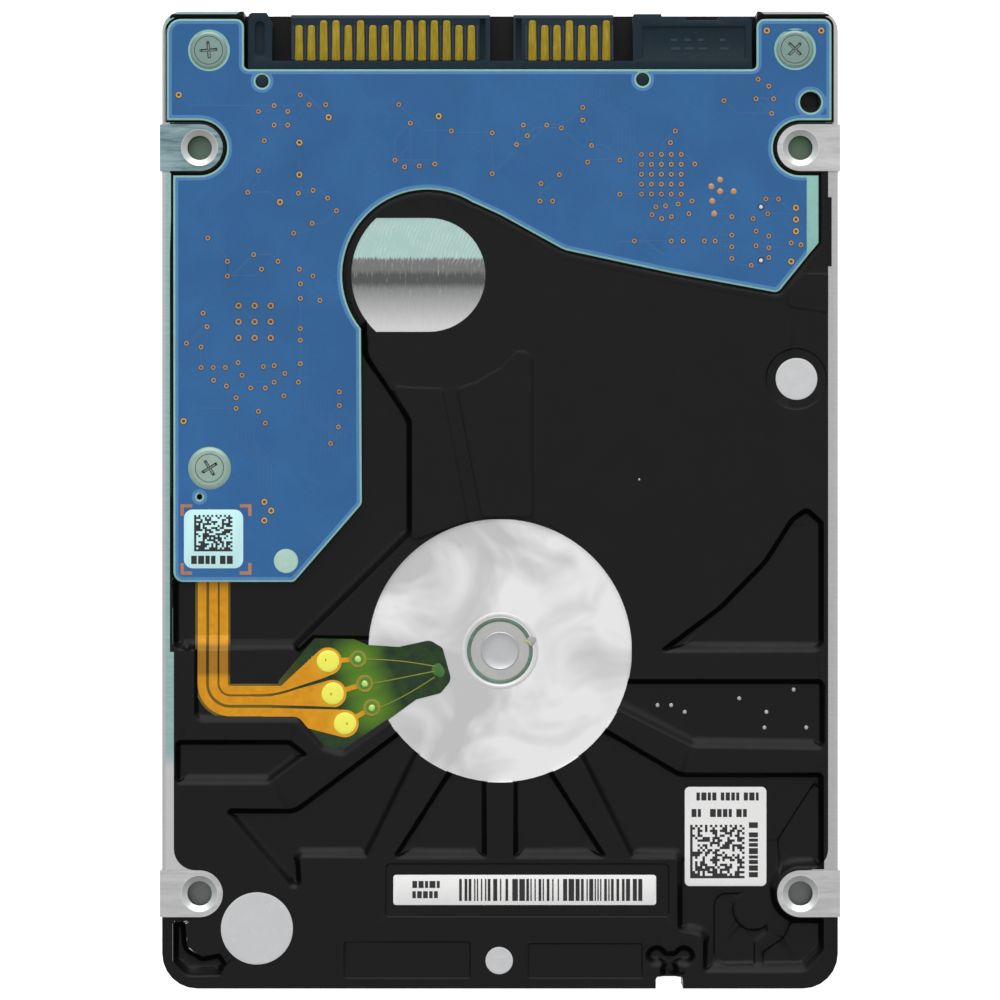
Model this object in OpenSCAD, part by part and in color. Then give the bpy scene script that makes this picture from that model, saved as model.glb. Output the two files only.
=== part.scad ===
// Hard disk drive, 2.5-inch form factor, one disk, SATA connector.
// Millimetres. The cover lies on z = 0 and the board side faces +Z.
// The connector end is +Y and the spindle lies on the line x = 0.

/* [Envelope] */
// Width across the mounting rails
body_w = 69.85; // [69.6:0.05:70.1]
// Length from connector end to rear end
body_l = 100.35; // [100.1:0.05:100.45]
// Height from cover face to mounting face
body_h = 7; // [7:0.5:9.5]

/* [Mounting holes] */
// Distance across the drive between the mounting face holes
hole_span_x = 61.72; // [61.5:0.02:61.9]
// Distance along the drive between hole pairs
hole_pitch_y = 76.6; // [76.4:0.1:76.8]
// First hole pair, measured from the connector end
hole_from_end = 14; // [13.8:0.1:14.2]
// Tapping radius of the M3 mounting holes
hole_r = 1.25; // [1.2:0.01:1.3]
// Depth of the mounting holes
hole_depth = 2.5; // [2:0.1:2.5]
// Side hole height below the mounting face
side_hole_drop = 3; // [2.9:0.05:3.1]

/* [Disk pack] */
// Disk radius
disk_r = 32.5; // [32:0.1:32.5]
// Disk bore radius
disk_bore_r = 10; // [9.99:0.01:10.1]
// Disk thickness
disk_t = 0.65; // [0.5:0.05:0.7]
// Spindle distance behind the middle of the drive
spindle_back = 15.5; // [15.3:0.1:15.6]

/* [Actuator] */
// Pivot position across the drive
pivot_x = -7.33; // [-7.4:0.01:-7.2]
// Pivot position along the drive
pivot_y = 23.12; // [23:0.02:23.2]
// Pivot to head distance
head_reach = 34; // [33.8:0.1:34]
// Parked arm direction, degrees from +X
park_angle = -23.8; // [-24:0.1:-23.4]

/* [Circuit board] */
// Board thickness
board_t = 0.8; // [0.6:0.1:0.8]
// Via pad radius
via_r = 0.3; // [0.25:0.01:0.32]
// Via pad copper thickness
via_t = 0.02; // [0.01:0.01:0.05]

/* [Connector] */
// Contact width
contact_w = 0.84; // [0.6:0.02:0.9]
// Tongue thickness
tongue_t = 1.23; // [1.1:0.01:1.3]

/* [Hidden] */
$fn = 48;
eps = 0.01;

half_w = body_w / 2;
half_l = body_l / 2;
rail_x = half_w - 0.225;
hole_x = hole_span_x / 2;
hole_front = half_l - hole_from_end;
hole_rear = hole_front - hole_pitch_y;
spindle = [0, -spindle_back];
pivot = [pivot_x, pivot_y];
board_top_drop = 0.2;
contact_pitch = 1.27;

// Levels, from the cover face up
z_label = 0.08;
sheet_t = 0.5;
z_panel_in = z_label + sheet_t;
z_rim = 1;
z_floor = 4.2;
z_motor = 5.5;
z_disk = 1.95;
z_disk_mid = z_disk + disk_t / 2;
z_disk_top = z_disk + disk_t;
// Levels, from the mounting face down
z_board = body_h - board_top_drop - board_t;
z_board_top = z_board + board_t;
z_bay = z_board - 0.15;
z_chip = z_board - 1;
z_face = body_h - 0.65;
z_pocket = body_h - 0.95;
z_deck = body_h - 0.2;
z_bed = z_deck - 0.1;

cavity_r = 33;
motor_face_r = 13.5;
sleeve_r = 3;
shaft_r = 1.2;
screw_r = 0.7;
foil_t = 0.05;
flex_t = 0.1;
copper_t = 0.05;
film_t = 0.05;

board_screws = [[-29.92, 46.19], [30.29, 46.3]];
pan_screw = [-29.83, 3.28];
cover_screw_sites = [
    [-31.3, 41.8], [31.3, 41.8], [-31.3, 33.6], [31.3, 33.6], [-29.5, -46], [29.5, -46]
];
connector_pegs = [[-24.44, 43], [14.65, 43.19]];
ramp_screw_at = [30.43, 12.44];
large_foil_at = [-25, -44];
small_foil_at = [-0.1, -47.3];
latch_at = [-30.6, 16.5];

// ---------- geometry helpers ----------

function unit(v) = v / norm(v);
function wrap(a) = a > 180 ? a - 360 : a < -180 ? a + 360 : a;

// Points of the arc of radius r that rounds corner b between a and c
function corner(a, b, c, r, n = 6) =
    let (
        u = unit([a[0] - b[0], a[1] - b[1]]),
        v = unit([c[0] - b[0], c[1] - b[1]]),
        half = acos(u * v) / 2,
        p = [b[0], b[1]],
        centre = p + unit(u + v) * r / sin(half),
        from = p + u * r / tan(half) - centre,
        to = p + v * r / tan(half) - centre,
        a0 = atan2(from[1], from[0]),
        sweep = wrap(atan2(to[1], to[0]) - a0)
    )
    [for (i = [0:n]) centre + r * [cos(a0 + sweep * i / n), sin(a0 + sweep * i / n)]];

// Outline from [x, y, r] corners, r the rounding radius
function rounded(pts) = [
    for (i = [0:len(pts) - 1])
        let (k = len(pts), a = pts[(i + k - 1) % k], b = pts[i], c = pts[(i + 1) % k])
        each b[2] > 0 ? corner(a, b, c, b[2]) : [[b[0], b[1]]]
];

function arc(r, a0, a1, n = 16) = [
    for (i = [0:n]) let (a = a0 + (a1 - a0) * i / n) r * [cos(a), sin(a)]
];
function sector(r0, r1, a0, a1) = concat(arc(r0, a0, a1), arc(r1, a1, a0));
function box_corners(x0, y0, x1, y1, r) = [[x0, y0, r], [x1, y0, r], [x1, y1, r], [x0, y1, r]];

// Flat strip of width w along a path
function normal_at(path, i) =
    let (d = unit(path[min(i + 1, len(path) - 1)] - path[max(i - 1, 0)])) [-d[1], d[0]];
function ribbon(path, w) = concat(
    [for (i = [0:len(path) - 1]) path[i] + normal_at(path, i) * w / 2],
    [for (i = [len(path) - 1:-1:0]) path[i] - normal_at(path, i) * w / 2]
);
function bezier(p, n = 10) = [
    for (i = [0:n]) let (t = i / n, s = 1 - t)
        s * s * s * p[0] + 3 * s * s * t * p[1] + 3 * s * t * t * p[2] + t * t * t * p[3]
];

module slab(z0, z1) translate([0, 0, z0]) linear_extrude(z1 - z0) children();
module area(pts) polygon(rounded(pts));
module plate(x0, y0, x1, y1, r = 0.3) area(box_corners(x0, y0, x1, y1, r));
module at_spindle() translate(spindle) children();
module at_pivot() translate(pivot) children();
module drill(p, r, z0, z1) translate([p[0], p[1], z0]) cylinder(r = r, h = z1 - z0);
module tube(p, r0, r1, z0, z1) difference() {
    drill(p, r1, z0, z1);
    drill(p, r0, z0 - eps, z1 + eps);
}
module for_bosses() for (s = [-1, 1], y = [hole_front, hole_rear])
    translate([s * hole_x, y]) scale_side(s) children();
module scale_side(s) mirror([s < 0 ? 1 : 0, 0]) children();

// ---------- casting outlines ----------

module casting_outline() area([
    [-rail_x, -half_l, 3.6], [16, -half_l, 0], [16, -half_l + 1.2, 0.3], [18.8, -half_l + 1.2, 0.3],
    [18.8, -half_l, 0], [rail_x, -half_l, 3.6], [rail_x, half_l, 2], [-rail_x, half_l, 2]
]);

module boss_outline(grow = 0) {
    circle(r = 2.4 + grow);
    translate([0, -2.4 - grow]) square([half_w - hole_x + grow, 4.8 + 2 * grow]);
}

// Disk and actuator chamber, seen from the cover side
module cavity_outline() {
    at_spindle() circle(r = cavity_r);
    area([
        [-26.5, -4, 0], [-26.9, 8.2, 1], [-32.9, 11.8, 1], [-32.9, 31.6, 1.5], [-27.9, 31.6, 0.8],
        [-27.9, 42.9, 1.5], [27.9, 42.9, 1.5], [27.9, 31.6, 0.8], [32.9, 31.6, 1.5], [32.9, 2, 4], [26.5, -4, 0]
    ]);
}

module board_outline() difference() {
    area([
        [-34.2, 49.4, 1.4], [-34.2, 36, 0], [-33.55, 36, 0], [-33.53, -8.41, 1], [-21.16, -8.41, 0.6],
        [-14.2, -0.4, 0.8], [-14.3, 17.6, 0], [-7.43, 23.1, 0], [-2.7, 30.55, 0], [0.05, 29.3, 2],
        [6.6, 25.7, 3], [17.7, 23.3, 8], [28.54, 21.3, 0.8], [31.6, 25.1, 0], [32.7, 26.4, 0.3], [32.7, 36, 0],
        [34.03, 36, 0], [34.03, 49.4, 0.8], [26.36, 49.4, 0.8], [26.36, 44.23, 0.5],
        [-26.32, 44.23, 0.5], [-26.32, 49.4, 0.8]
    ]);
    translate([-7.43, 23.1]) circle(r = 8.8);
    for (s = [-1, 1]) translate([s * hole_x, hole_front]) scale_side(s) {
        circle(r = 2.85);
        translate([0, -2.85]) square([6, 5.7]);
    }
}

// Deep area beside the board where the motor flex leaves it
module bay_outline() area([
    [-33.6, 0, 0], [-33.6, -15.5, 0.8], [-21, -15.5, 1.2], [-9.07, -3.7, 1.5],
    [-9.07, 8.2, 1.5], [-13.5, 14.9, 1.5], [-13.7, 18.5, 0]
]);

// Shelf for the motor flex, level with the machined motor face
module flex_shelf_outline() area([
    [-31.45, -15, 0], [-31.45, -23, 1], [-20.9, -23, 0.8], [-18.4, -25.9, 1.2],
    [-16.2, -26.6, 1.2], [-10, -22.4, 0], [-10, -14, 0], [-19.5, -13.8, 0.5], [-21, -15, 0]
]);

module deck_pockets() {
    // rear webs either side of the centre line
    area([
        [-28.8, -31.6, 0.6], [-21.2, -31.7, 2], [-9.9, -23.2, 0], [-7.6, -24.9, 0],
        [-13.6, -36.9, 0.5], [-20.5, -36.9, 0.3], [-20.2, -41.6, 0.8]
    ]);
    for (s = [-1, 1]) scale_side(s) area([[4.6, -26.5, 0], [11.3, -37, 0.5], [1.3, -37, 0.5], [1.3, -27, 0]]);
    // left web
    area([
        [-33.4, -24.6, 0.6], [-21.5, -24.6, 1], [-19.5, -26.2, 0.5], [-23.8, -29.4, 1.5], [-33.4, -29.4, 0.6]
    ]);
    // right rear field, around the matrix label
    area([
        [7.1, -24.5, 0], [10.2, -23, 0], [18.6, -27.95, 2], [33.3, -27.95, 0.6], [33.3, -46.6, 1.5],
        [31.4, -48.7, 1.5], [20.8, -48.7, 0.6], [20.8, -45, 0.6], [18.2, -44.4, 0.6], [18.2, -37, 0.3],
        [13.4, -37, 0.6]
    ]);
    // right channel
    area([
        [11, -18.35, 0], [33.4, -18.35, 0.8], [33.4, -25.8, 0.8], [19.8, -25.6, 1.5], [10.5, -21, 0]
    ]);
    // right triangle beside the disk
    area([
        [15.8, -15.8, 0.4], [22.5, -10.8, 8], [27, -6.2, 6], [29.8, -1.8, 2], [31.5, -0.6, 0.8],
        [33.3, -2.2, 0.8], [33.3, -15.8, 1.2]
    ]);
    // bowl behind the rear notch
    for (x = [16.1, 18.9]) translate([x, -46.9]) circle(r = 1.2);
    plate(16.4, -49.6, 18.4, -46.3, 0.2);
}

// Hollows around the rear bosses, one step below the pockets
module deck_hollows() {
    area([
        [32.2, -29, 0.4], [33.1, -29.5, 0.2], [33.1, -37.7, 0.3], [30.8, -37.85, 1],
        [28.7, -39.3, 0.4], [28.4, -34.9, 0.8]
    ]);
    area([
        [29.9, -43.25, 0.3], [33.1, -43.25, 0.3], [33.1, -45.8, 1.6],
        [31.1, -47.9, 1.2], [26.9, -47.9, 0.2], [26.9, -46.4, 0.3], [29, -45, 1]
    ]);
    area([
        [-33.6, -43.3, 0.3], [-32.3, -43.3, 0.3], [-32.1, -46, 1], [-30.6, -46.9, 0.6], [-28.7, -46.5, 0.5],
        [-28, -47.7, 0.5], [-28.7, -49, 0.5], [-32.2, -49.1, 1.5], [-33.6, -47.6, 1]
    ]);
    difference() {
        area([
            [21.9, -40.3, 1.4], [27.6, -40.3, 1], [27.6, -44.6, 0.5],
            [26.3, -45.6, 0.4], [26.3, -48, 0.4], [21.9, -48, 1.4]
        ]);
        translate([26.05, -42.15]) circle(r = 1.95);
    }
}

// Low pads that stiffen the deck between spindle and pivot, and beside the board
module deck_rib_outline() {
    area([
        [-1.7, -1.6, 0.3], [-4.2, 11.3, 0.3], [-2.2, 12, 2], [0.1, 13.4, 3],
        [2.3, 15.6, 0.9], [3.2, 14.4, 0.8], [3.2, -1.6, 0.3]
    ]);
    area([
        [-9, -4, 0.3], [-9, 8.3, 1], [-10.9, 11.6, 0.3], [-9.4, 11.4, 1], [-6.1, 11.3, 0.3], [-3.5, -2, 0.2]
    ]);
    area([[29.7, 21.6, 0.4], [31.3, 23.1, 0.4], [33.7, 23.1, 0.3], [33.7, 19.4, 0.3], [29.7, 20, 0.4]]);
}

// Machined seat of the actuator pivot, flat on two sides
module pivot_face_outline() at_pivot() {
    intersection() {
        circle(r = 7.95);
        translate([-9, -5.85]) square([9, 11.7]);
    }
    circle(r = 5.85);
}

// Shallow beds for the barcode label, along the rear edge and for the foil over the ramp screw
module deck_bed_outline() {
    plate(-11.8, -42.9, 17.4, -37.3, 0.5);
    plate(-16.1, -49.2, -3, -45.3);
    plate(2.8, -49.2, 14.7, -45.5);
    translate(ramp_screw_at) circle(r = 3.2);
}

// ---------- root: casting, cover and seals ----------

module base_casting() color("#26272a") {
    difference() {
        union() {
            slab(z_rim, z_deck) casting_outline();
            slab(z_rim, body_h) intersection() {
                for_bosses() boss_outline();
                square([body_w, body_l], center = true);
            }
            slab(z_deck - eps, z_deck + 0.1) deck_rib_outline();
        }
        slab(0, z_floor) cavity_outline();
        at_spindle() slab(0, z_motor) circle(r = 10);
        slab(z_board, body_h + 1) difference() {
            offset(delta = 0.25) board_outline();
            for_bosses() boss_outline();
        }
        slab(z_chip, body_h) chip_field();
        slab(z_bay, body_h) bay_outline();
        slab(z_face, body_h) flex_shelf_outline();
        drill(spindle, motor_face_r, z_face, body_h);
        slab(z_deck - 0.06, body_h) pivot_face_outline();
        slab(z_bed, body_h) deck_bed_outline();
        slab(z_bay, body_h) difference() {
            deck_hollows();
            for_bosses() boss_outline(0.25);
        }
        slab(z_pocket, body_h) difference() {
            deck_pockets();
            for_bosses() boss_outline(0.1);
            at_spindle() circle(r = motor_face_r);
        }
        // connector bay, open at the front
        slab(1.6, body_h + 1) translate([-26.3, 44.2]) square([52.7, 10]);
        slab(z_chip, body_h) translate([-26.1, 41.2]) square([52.4, 4]);
        slab(z_floor - 1, z_board) plate(-1.5, 34.7, 6.5, 37.3);
        // gasket groove
        slab(0, z_rim + 0.5) gasket_outline();
        // spindle seat and the groove that holds the bearing glue
        drill(spindle, sleeve_r, z_floor, body_h);
        tube(spindle, sleeve_r, sleeve_r + 0.4, z_face - 0.25, body_h);
        // mounting holes
        for (s = [-1, 1], y = [hole_front, hole_rear]) {
            drill([s * hole_x, y], hole_r, body_h - hole_depth, body_h + 1);
            translate([s * half_w, y, body_h - side_hole_drop]) rotate([0, -90 * s, 0])
                translate([0, 0, -1]) cylinder(r = hole_r, h = 1 + 2.6);
        }
        // screw holes
        for (p = board_screws) drill(p, screw_r, z_board - 2.6, body_h);
        drill(pan_screw, screw_r, z_board - 2.2, body_h);
        for (p = cover_screw_sites) drill(p, screw_r, 0, 3.5);
        drill(ramp_screw_at, screw_r, 0, body_h);
        drill(latch_at, 0.4, 0, z_floor + 0.6);
        // wells under the foil seals
        drill(small_foil_at, 0.8, 0, body_h);
        drill(large_foil_at, 2.6, 3.2, body_h);
        translate([large_foil_at[0], large_foil_at[1], 3.2]) rotate([0, 0, 48.7])
            translate([0, -0.6, 0]) cube([6, 1.2, 0.9]);
    }
    // spigot that carries the stator
    tube(spindle, sleeve_r, 3.6, 3.6, z_motor + eps);
}

// Hollow under the board for its components; solid ground stays under its screws
module chip_field() difference() {
    offset(delta = -1.3) board_outline();
    for (p = board_screws) translate(p) circle(r = 3.2);
    translate(pan_screw) circle(r = 2.8);
    for_bosses() circle(r = 4.2);
    plate(-40, -10, -14, -2.6, 0);
    translate([27.6, 21]) square([8, 12]);
}

module gasket_outline() difference() {
    offset(delta = 0.95) cavity_outline();
    offset(delta = 0.35) cavity_outline();
}

module cover_panel_outline() difference() {
    offset(delta = -2.9) casting_outline();
    for (p = cover_screw_sites) translate(p) circle(r = 2.6);
    at_pivot() circle(r = 2.6);
}

module top_cover() color("#b9bcc0") difference() {
    union() {
        slab(z_rim - sheet_t, z_rim) offset(delta = -0.35) casting_outline();
        slab(z_label, z_rim) cover_panel_outline();
    }
    slab(z_panel_in, z_rim + 1) offset(delta = -sheet_t) cover_panel_outline();
    for (p = concat(cover_screw_sites, [pivot])) drill(p, screw_r + 0.1, -1, 2);
}

module cover_gasket() color("#2f3133") slab(z_rim, z_rim + 0.5) gasket_outline();

// Screw with its head towards -Z, a six-point socket and a plain shank
module cover_screw(p, depth) difference() {
    union() {
        drill(p, 1.5, 0.15, z_rim - sheet_t);
        drill(p, screw_r, z_rim - sheet_t - eps, depth);
    }
    translate([p[0], p[1], 0]) cylinder(r = 0.8, h = 0.32, $fn = 6);
}

module cover_screws() color("#8d9196") {
    for (p = cover_screw_sites) cover_screw(p, 3.4);
    cover_screw(pivot, 3);
}

module cover_label() color("#e9eaeb") slab(0, z_label) difference() {
    intersection() {
        offset(delta = -2.2) cover_panel_outline();
        plate(-29, -44, 29, 30, 2);
    }
    at_pivot() circle(r = 3.4);
}

// ---------- root: circuit board ----------

module circuit_board() color("#33619a") slab(z_board, z_board_top) difference() {
    board_outline();
    for (p = board_screws) translate(p) circle(r = 0.85);
    translate(pan_screw) circle(r = 0.85);
    for (p = connector_pegs) translate(p) circle(r = 0.68);
    translate([31.9, 40.86]) circle(r = 1.1);
    translate([-30.86, 0.32]) circle(r = 0.3);
}

// A row of via pads: start, step, count
via_rows = [
    // upper left, around the power parts
    [-33, 41.6, 12.5, 0, 2], [-23.2, 40.5, 3.6, 0.1, 2], [-24.8, 39.9, 3, 0, 2], [-23.2, 38.5, 1.4, 0, 2],
    [-17.9, 40.6, 0.3, -1.3, 2], [-24.2, 36.9, 3.6, -0.2, 2], [-24.8, 33.8, 4.2, -0.4, 2],
    [-25.9, 31.6, 3.3, -1, 2], [-20.7, 31.5, 1.5, 0.3, 2], [-17.7, 31, 0.9, -1.3, 2],
    [-21.2, 27.4, 1.9, 1, 2], [-30, 26.9, 2, -2.4, 2], [-28, 23, 2.7, 2.2, 2], [-24.5, 23.7, 1.7, 0.8, 2],
    [-20.6, 23.7, 1.4, -0.7, 2], [-20.5, 22.2, 0, -1.5, 2], [-18.5, 20.5, -2, -2.9, 2], [-20.5, 16.4, 0, -2.4, 2],
    [-30.5, 19.2, 0.4, -1.4, 2],
    // lower left
    [-32.2, 16.1, 1.5, -0.4, 2], [-30.7, 13.6, 1.25, 0, 3], [-26.9, 14.1, 0.4, -1.3, 2],
    [-29.4, 12.3, 1.3, -0.6, 2], [-27.1, 10.5, 0, -1.1, 2], [-25.6, 11.5, 1.5, 0, 2], [-24.3, 13.7, 1.1, 0.1, 2],
    [-22.1, 13, -1.1, -0.9, 2], [-20.7, 12.1, -1.5, -1.4, 2], [-24.8, 9.1, 0.7, -1.2, 2], [-32.5, 8.1, 0, -6, 1],
    [-16.5, 11.1, 0, -1.4, 2], [-16.6, 7.5, -0.8, -1.7, 2], [-24.2, -0.2, 0, -1.9, 2], [-23.5, -1.1, 0, -1, 1],
    // middle
    [-10.4, 40.6, 4.1, -1.2, 2], [-9.2, 38.7, 4.2, -0.8, 2], [-0.8, 37.7, 0, -4.2, 2], [-10.8, 34.9, 1, -0.7, 2],
    [-8.3, 34.3, 1.6, 0.2, 2], [8.5, 40.3, 0, -1.3, 2], [2.4, 38.5, 2.4, 0, 2], [6.3, 38.2, 3.1, -1.8, 2],
    [2.8, 37.4, -1.1, -0.9, 2], [9, 34.7, 3.3, 0.2, 2], [6.1, 33.4, -1.9, -0.9, 2], [4.1, 30.7, 1.3, 0, 2],
    [12.3, 31.4, 1.5, -4.8, 2],
    // under and right of the controller
    [18, 37.9, -0.5, -1.2, 2], [16, 30.1, 1, 0.1, 2], [18.3, 30.4, 1.4, 0.3, 2], [15.6, 29.3, 1, -0.4, 2],
    [17.6, 29.1, 1.8, 0.3, 2], [17.6, 26.6, 1.2, 0, 2], [21, 26.6, 1.1, 0, 2], [20, 34.5, 2.6, -1.6, 2],
    [21.7, 32.2, 2.3, -0.5, 2], [21.8, 30.7, 0.2, -1.3, 2], [22.6, 31.7, 1.2, -2.6, 2], [23.8, 27.2, 0, -1.2, 3],
    [26.3, 27.6, 1.3, -0.5, 2], [26.3, 26.1, 1.3, -0.2, 2], [25.8, 24.1, 1.8, 0.8, 2], [27.3, 30.9, 1.3, 0, 2],
    [26, 28.9, 1.5, 0.5, 2], [29.9, 26.4, 1, -0.2, 2], [30.4, 30, 0, -1.2, 3], [29.9, 24.5, 0, -1, 1],
    // upper right
    [23, 41, 3.3, 0.2, 2], [26.5, 43.2, 1.1, -0.7, 2], [28.1, 41.2, -0.2, -1.5, 2], [27.4, 48.2, 5.6, 0, 2]
];
// Thermal via fields: centre, pitch, count a side, pad radius
via_fields = [[16.57, 33.45, 1.02, 5, 0.3], [-25.2, 18.3, 1.65, 3, 0.39]];

module via_ring(p, r) translate([p[0], p[1], z_board_top]) difference() {
    cylinder(r = r, h = via_t, $fn = 24);
    translate([0, 0, -eps]) cylinder(r = r * 0.45, h = 1, $fn = 24);
}

module board_vias() color("#c8905a") {
    for (v = via_rows, i = [0:v[4] - 1]) via_ring([v[0] + v[2] * i, v[1] + v[3] * i], via_r);
    for (f = via_fields, i = [0:f[3] - 1], j = [0:f[3] - 1])
        via_ring([f[0], f[1]] + f[2] * [i - (f[3] - 1) / 2, j - (f[3] - 1) / 2], f[4]);
}

module chip(x, y, w, l, h) slab(z_board - h, z_board) plate(x - w / 2, y - l / 2, x + w / 2, y + l / 2, 0);

module controller_chip() color("#2a2b2d") chip(16.57, 33.2, 9, 9, 0.85);
module memory_chip() color("#303134") chip(-17.5, 35.5, 6, 8, 0.8);
module motor_driver_chip() color("#2d2e30") chip(-25.2, 18.3, 7, 7, 0.85);

module board_passives() color("#a8895c") {
    for (i = [0:4]) chip(-29.5 + 2.2 * i, 25.5, 1, 1.6, 0.55);
    for (i = [0:3]) chip(23.6, 27.6 + 1.7 * i, 1.6, 0.8, 0.5);
    for (i = [0:3]) chip(-28 + 2.6 * i, 10.4, 1.6, 0.8, 0.5);
    for (x = [-12, 10]) chip(x, 40, 3, 2.6, 0.9);
}

module board_insulator() color("#c9c3a4") slab(z_chip, z_chip + film_t) difference() {
    offset(delta = -1.6) chip_field();
    plate(-27, 40.5, 27, 45, 0);
    plate(-2.5, 33.7, 7.5, 38.3, 0);
}

// Cross recess cut into a screw head whose top is at z
module cross_recess(z, turn) translate([0, 0, z]) rotate([0, 0, turn]) for (a = [0, 90]) rotate([0, 0, a])
    translate([-0.95, -0.16, -0.3]) cube([1.9, 0.32, 1]);

module board_screws_flat() color("#c9ccd0") for (i = [0, 1]) translate(board_screws[i]) difference() {
    rotate_extrude() polygon([
        [0, z_board - 2.4], [screw_r, z_board - 2.4], [screw_r, z_board_top], [1.9, z_board_top],
        [1.9, z_board_top + 0.06], [1.7, z_board_top + 0.14], [0, z_board_top + 0.18]
    ]);
    cross_recess(z_board_top + 0.18, 40 * i + 5);
}

module board_screw_pan() color("#c2c5c9") translate(pan_screw) difference() {
    rotate_extrude() polygon([
        [0, z_board - 2], [screw_r, z_board - 2], [screw_r, z_board_top], [2.13, z_board_top],
        [2.13, z_board_top + 0.06], [1.8, z_board_top + 0.15], [0, z_board_top + 0.19]
    ]);
    cross_recess(z_board_top + 0.19, 32);
}

// ---------- root: connector ----------

tongue_z = z_board - 3.1;
contact_top = tongue_z + tongue_t;
housing_x = 25.9;
housing_z = 1.7;
housing_top = z_board + 0.3;
wall_y = 45.16;
tongue_y = half_l - 0.07;
power_tongue = [-21.57, -1.02];
signal_tongue = [1.38, 11.69];
power_lengths = [0, 0, 1, 1, 0, 1, 0, 0, 1, 1, 1, 1, 1, 0, 0];
signal_lengths = [1, 0, 0, 1, 0, 0, 1];

// Blade that carries a row of contacts, keyed at its right or left end
module tongue(span, key_x) {
    difference() {
        slab(tongue_z, contact_top) plate(span[0], wall_y - 0.3, span[1], tongue_y, 0);
        translate([0, tongue_y, contact_top]) rotate([45, 0, 0]) cube([100, 0.5, 0.5], center = true);
        slab(contact_top - 0.7, contact_top + 1) plate(key_x - 0.3, wall_y + 0.3, key_x + 0.3, tongue_y - 0.4, 0);
    }
    slab(tongue_z - 1.2, tongue_z + eps) plate(key_x - 0.5, wall_y - 0.3, key_x + 0.5, tongue_y - 0.2, 0);
}

module connector_housing() color("#2e3b46") {
    slab(z_chip, z_board) plate(-housing_x, 41.4, housing_x, 44.4, 0);
    slab(housing_z, housing_top) plate(-housing_x, 44.3, housing_x, wall_y, 0);
    for (p = connector_pegs) drill(p, 0.6, z_board - eps, z_board_top - 0.05);
    tongue(power_tongue, -1.8);
    tongue(signal_tongue, 1.95);
    difference() {
        slab(housing_z, housing_top) area([
            [-housing_x, wall_y - 0.2, 0], [-23.46, wall_y - 0.2, 0], [-23.46, 49.2, 0.4],
            [-24, 50.1, 0.2], [-housing_x, 50.1, 0.5]
        ]);
        slab(housing_top - 0.6, housing_top + 1) plate(-25.2, 45.6, -24.2, 49.2, 0.45);
    }
    difference() {
        slab(housing_z, housing_top) area([
            [13.68, wall_y - 0.2, 0], [25.88, wall_y - 0.2, 0], [25.88, 49.66, 0.4], [22.4, 49.66, 0.1],
            [22.4, 49.35, 0.1], [19.1, 49.35, 0.1], [19.1, 49.66, 0.1], [16.6, 49.66, 0.1],
            [16.6, 49.96, 0.1], [13.68, 49.96, 0.2]
        ]);
        slab(housing_top - 0.25, housing_top + 1) plate(14.6, 45.35, 25.25, 48.7, 0.2);
    }
}

// Row of contacts lying on a tongue; long ones mate first
module contact_row(first_x, lengths) for (i = [0:len(lengths) - 1]) translate([first_x + contact_pitch * i, 0])
    slab(contact_top, contact_top + 0.1) area([
        [-contact_w / 2, wall_y + 0.2, 0.1], [contact_w / 2, wall_y + 0.2, 0.1],
        [contact_w / 2 - 0.06, 49 + 0.5 * lengths[i], 0.25], [-contact_w / 2 + 0.06, 49 + 0.5 * lengths[i], 0.25]
    ]);

module power_contacts() color("#a58f2e") contact_row(-20.74, power_lengths);
module signal_contacts() color("#a58f2e") contact_row(3.35, signal_lengths);

// ---------- root: motor flex ----------

flex_bend = [-27.7, -18.85];
trace_runs = [0.69, 1.77, 2.94];
trace_w = 0.88;
film_run_r = 1.84;
film_w = 3.6;
solder_sites = [[-17.68, -16.57], [-17.2, -19.9], [-15.94, -22.97]];
ring_sites = [[-14.6, -16.35], [-13.9, -18.88], [-13.17, -21.36]];
ramp_start_y = -13.9;
ramp_end_y = -15.5;
flex_tail_y = -6.6;

// Side profile of the strip that climbs from under the board to the shelf
module flex_climb(x0, x1, lift, t) translate([x0, 0, lift]) rotate([90, 0, 90]) linear_extrude(x1 - x0) polygon([
    [ramp_end_y, z_face], [ramp_start_y, z_bay], [flex_tail_y, z_bay],
    [flex_tail_y, z_bay + t], [ramp_start_y, z_bay + t], [ramp_end_y, z_face + t]
]);

// L-shaped run of constant width: down, round the bend, then along +X to x_end
module flex_run(r, w, x_end) translate(flex_bend) polygon(ribbon(
    concat([[-r, ramp_end_y - flex_bend[1]]], arc(r, 180, 270, 12), [[x_end - flex_bend[0], -r]]), w
));

module motor_flex_film() color("#27502f") {
    flex_climb(flex_bend[0] - film_run_r - film_w / 2, flex_bend[0] - film_run_r + film_w / 2, 0, flex_t);
    slab(z_face, z_face + flex_t) {
        flex_run(film_run_r, film_w, -18);
        area([
            [-23, -18.9, 0.8], [-18.8, -13.9, 1.5], [-15.7, -14, 0.8], [-13.6, -14.9, 0.3], [-10.4, -15.1, 0.5],
            [-7.2, -14.4, 1], [-5.9, -15.2, 0.6], [-5, -18.5, 1], [-6.1, -19.85, 0.6], [-8.6, -20.5, 0.5],
            [-11.35, -22.5, 0.6], [-15.2, -25.7, 1], [-18, -25.4, 1], [-20.75, -22.3, 1]
        ]);
    }
}

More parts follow.
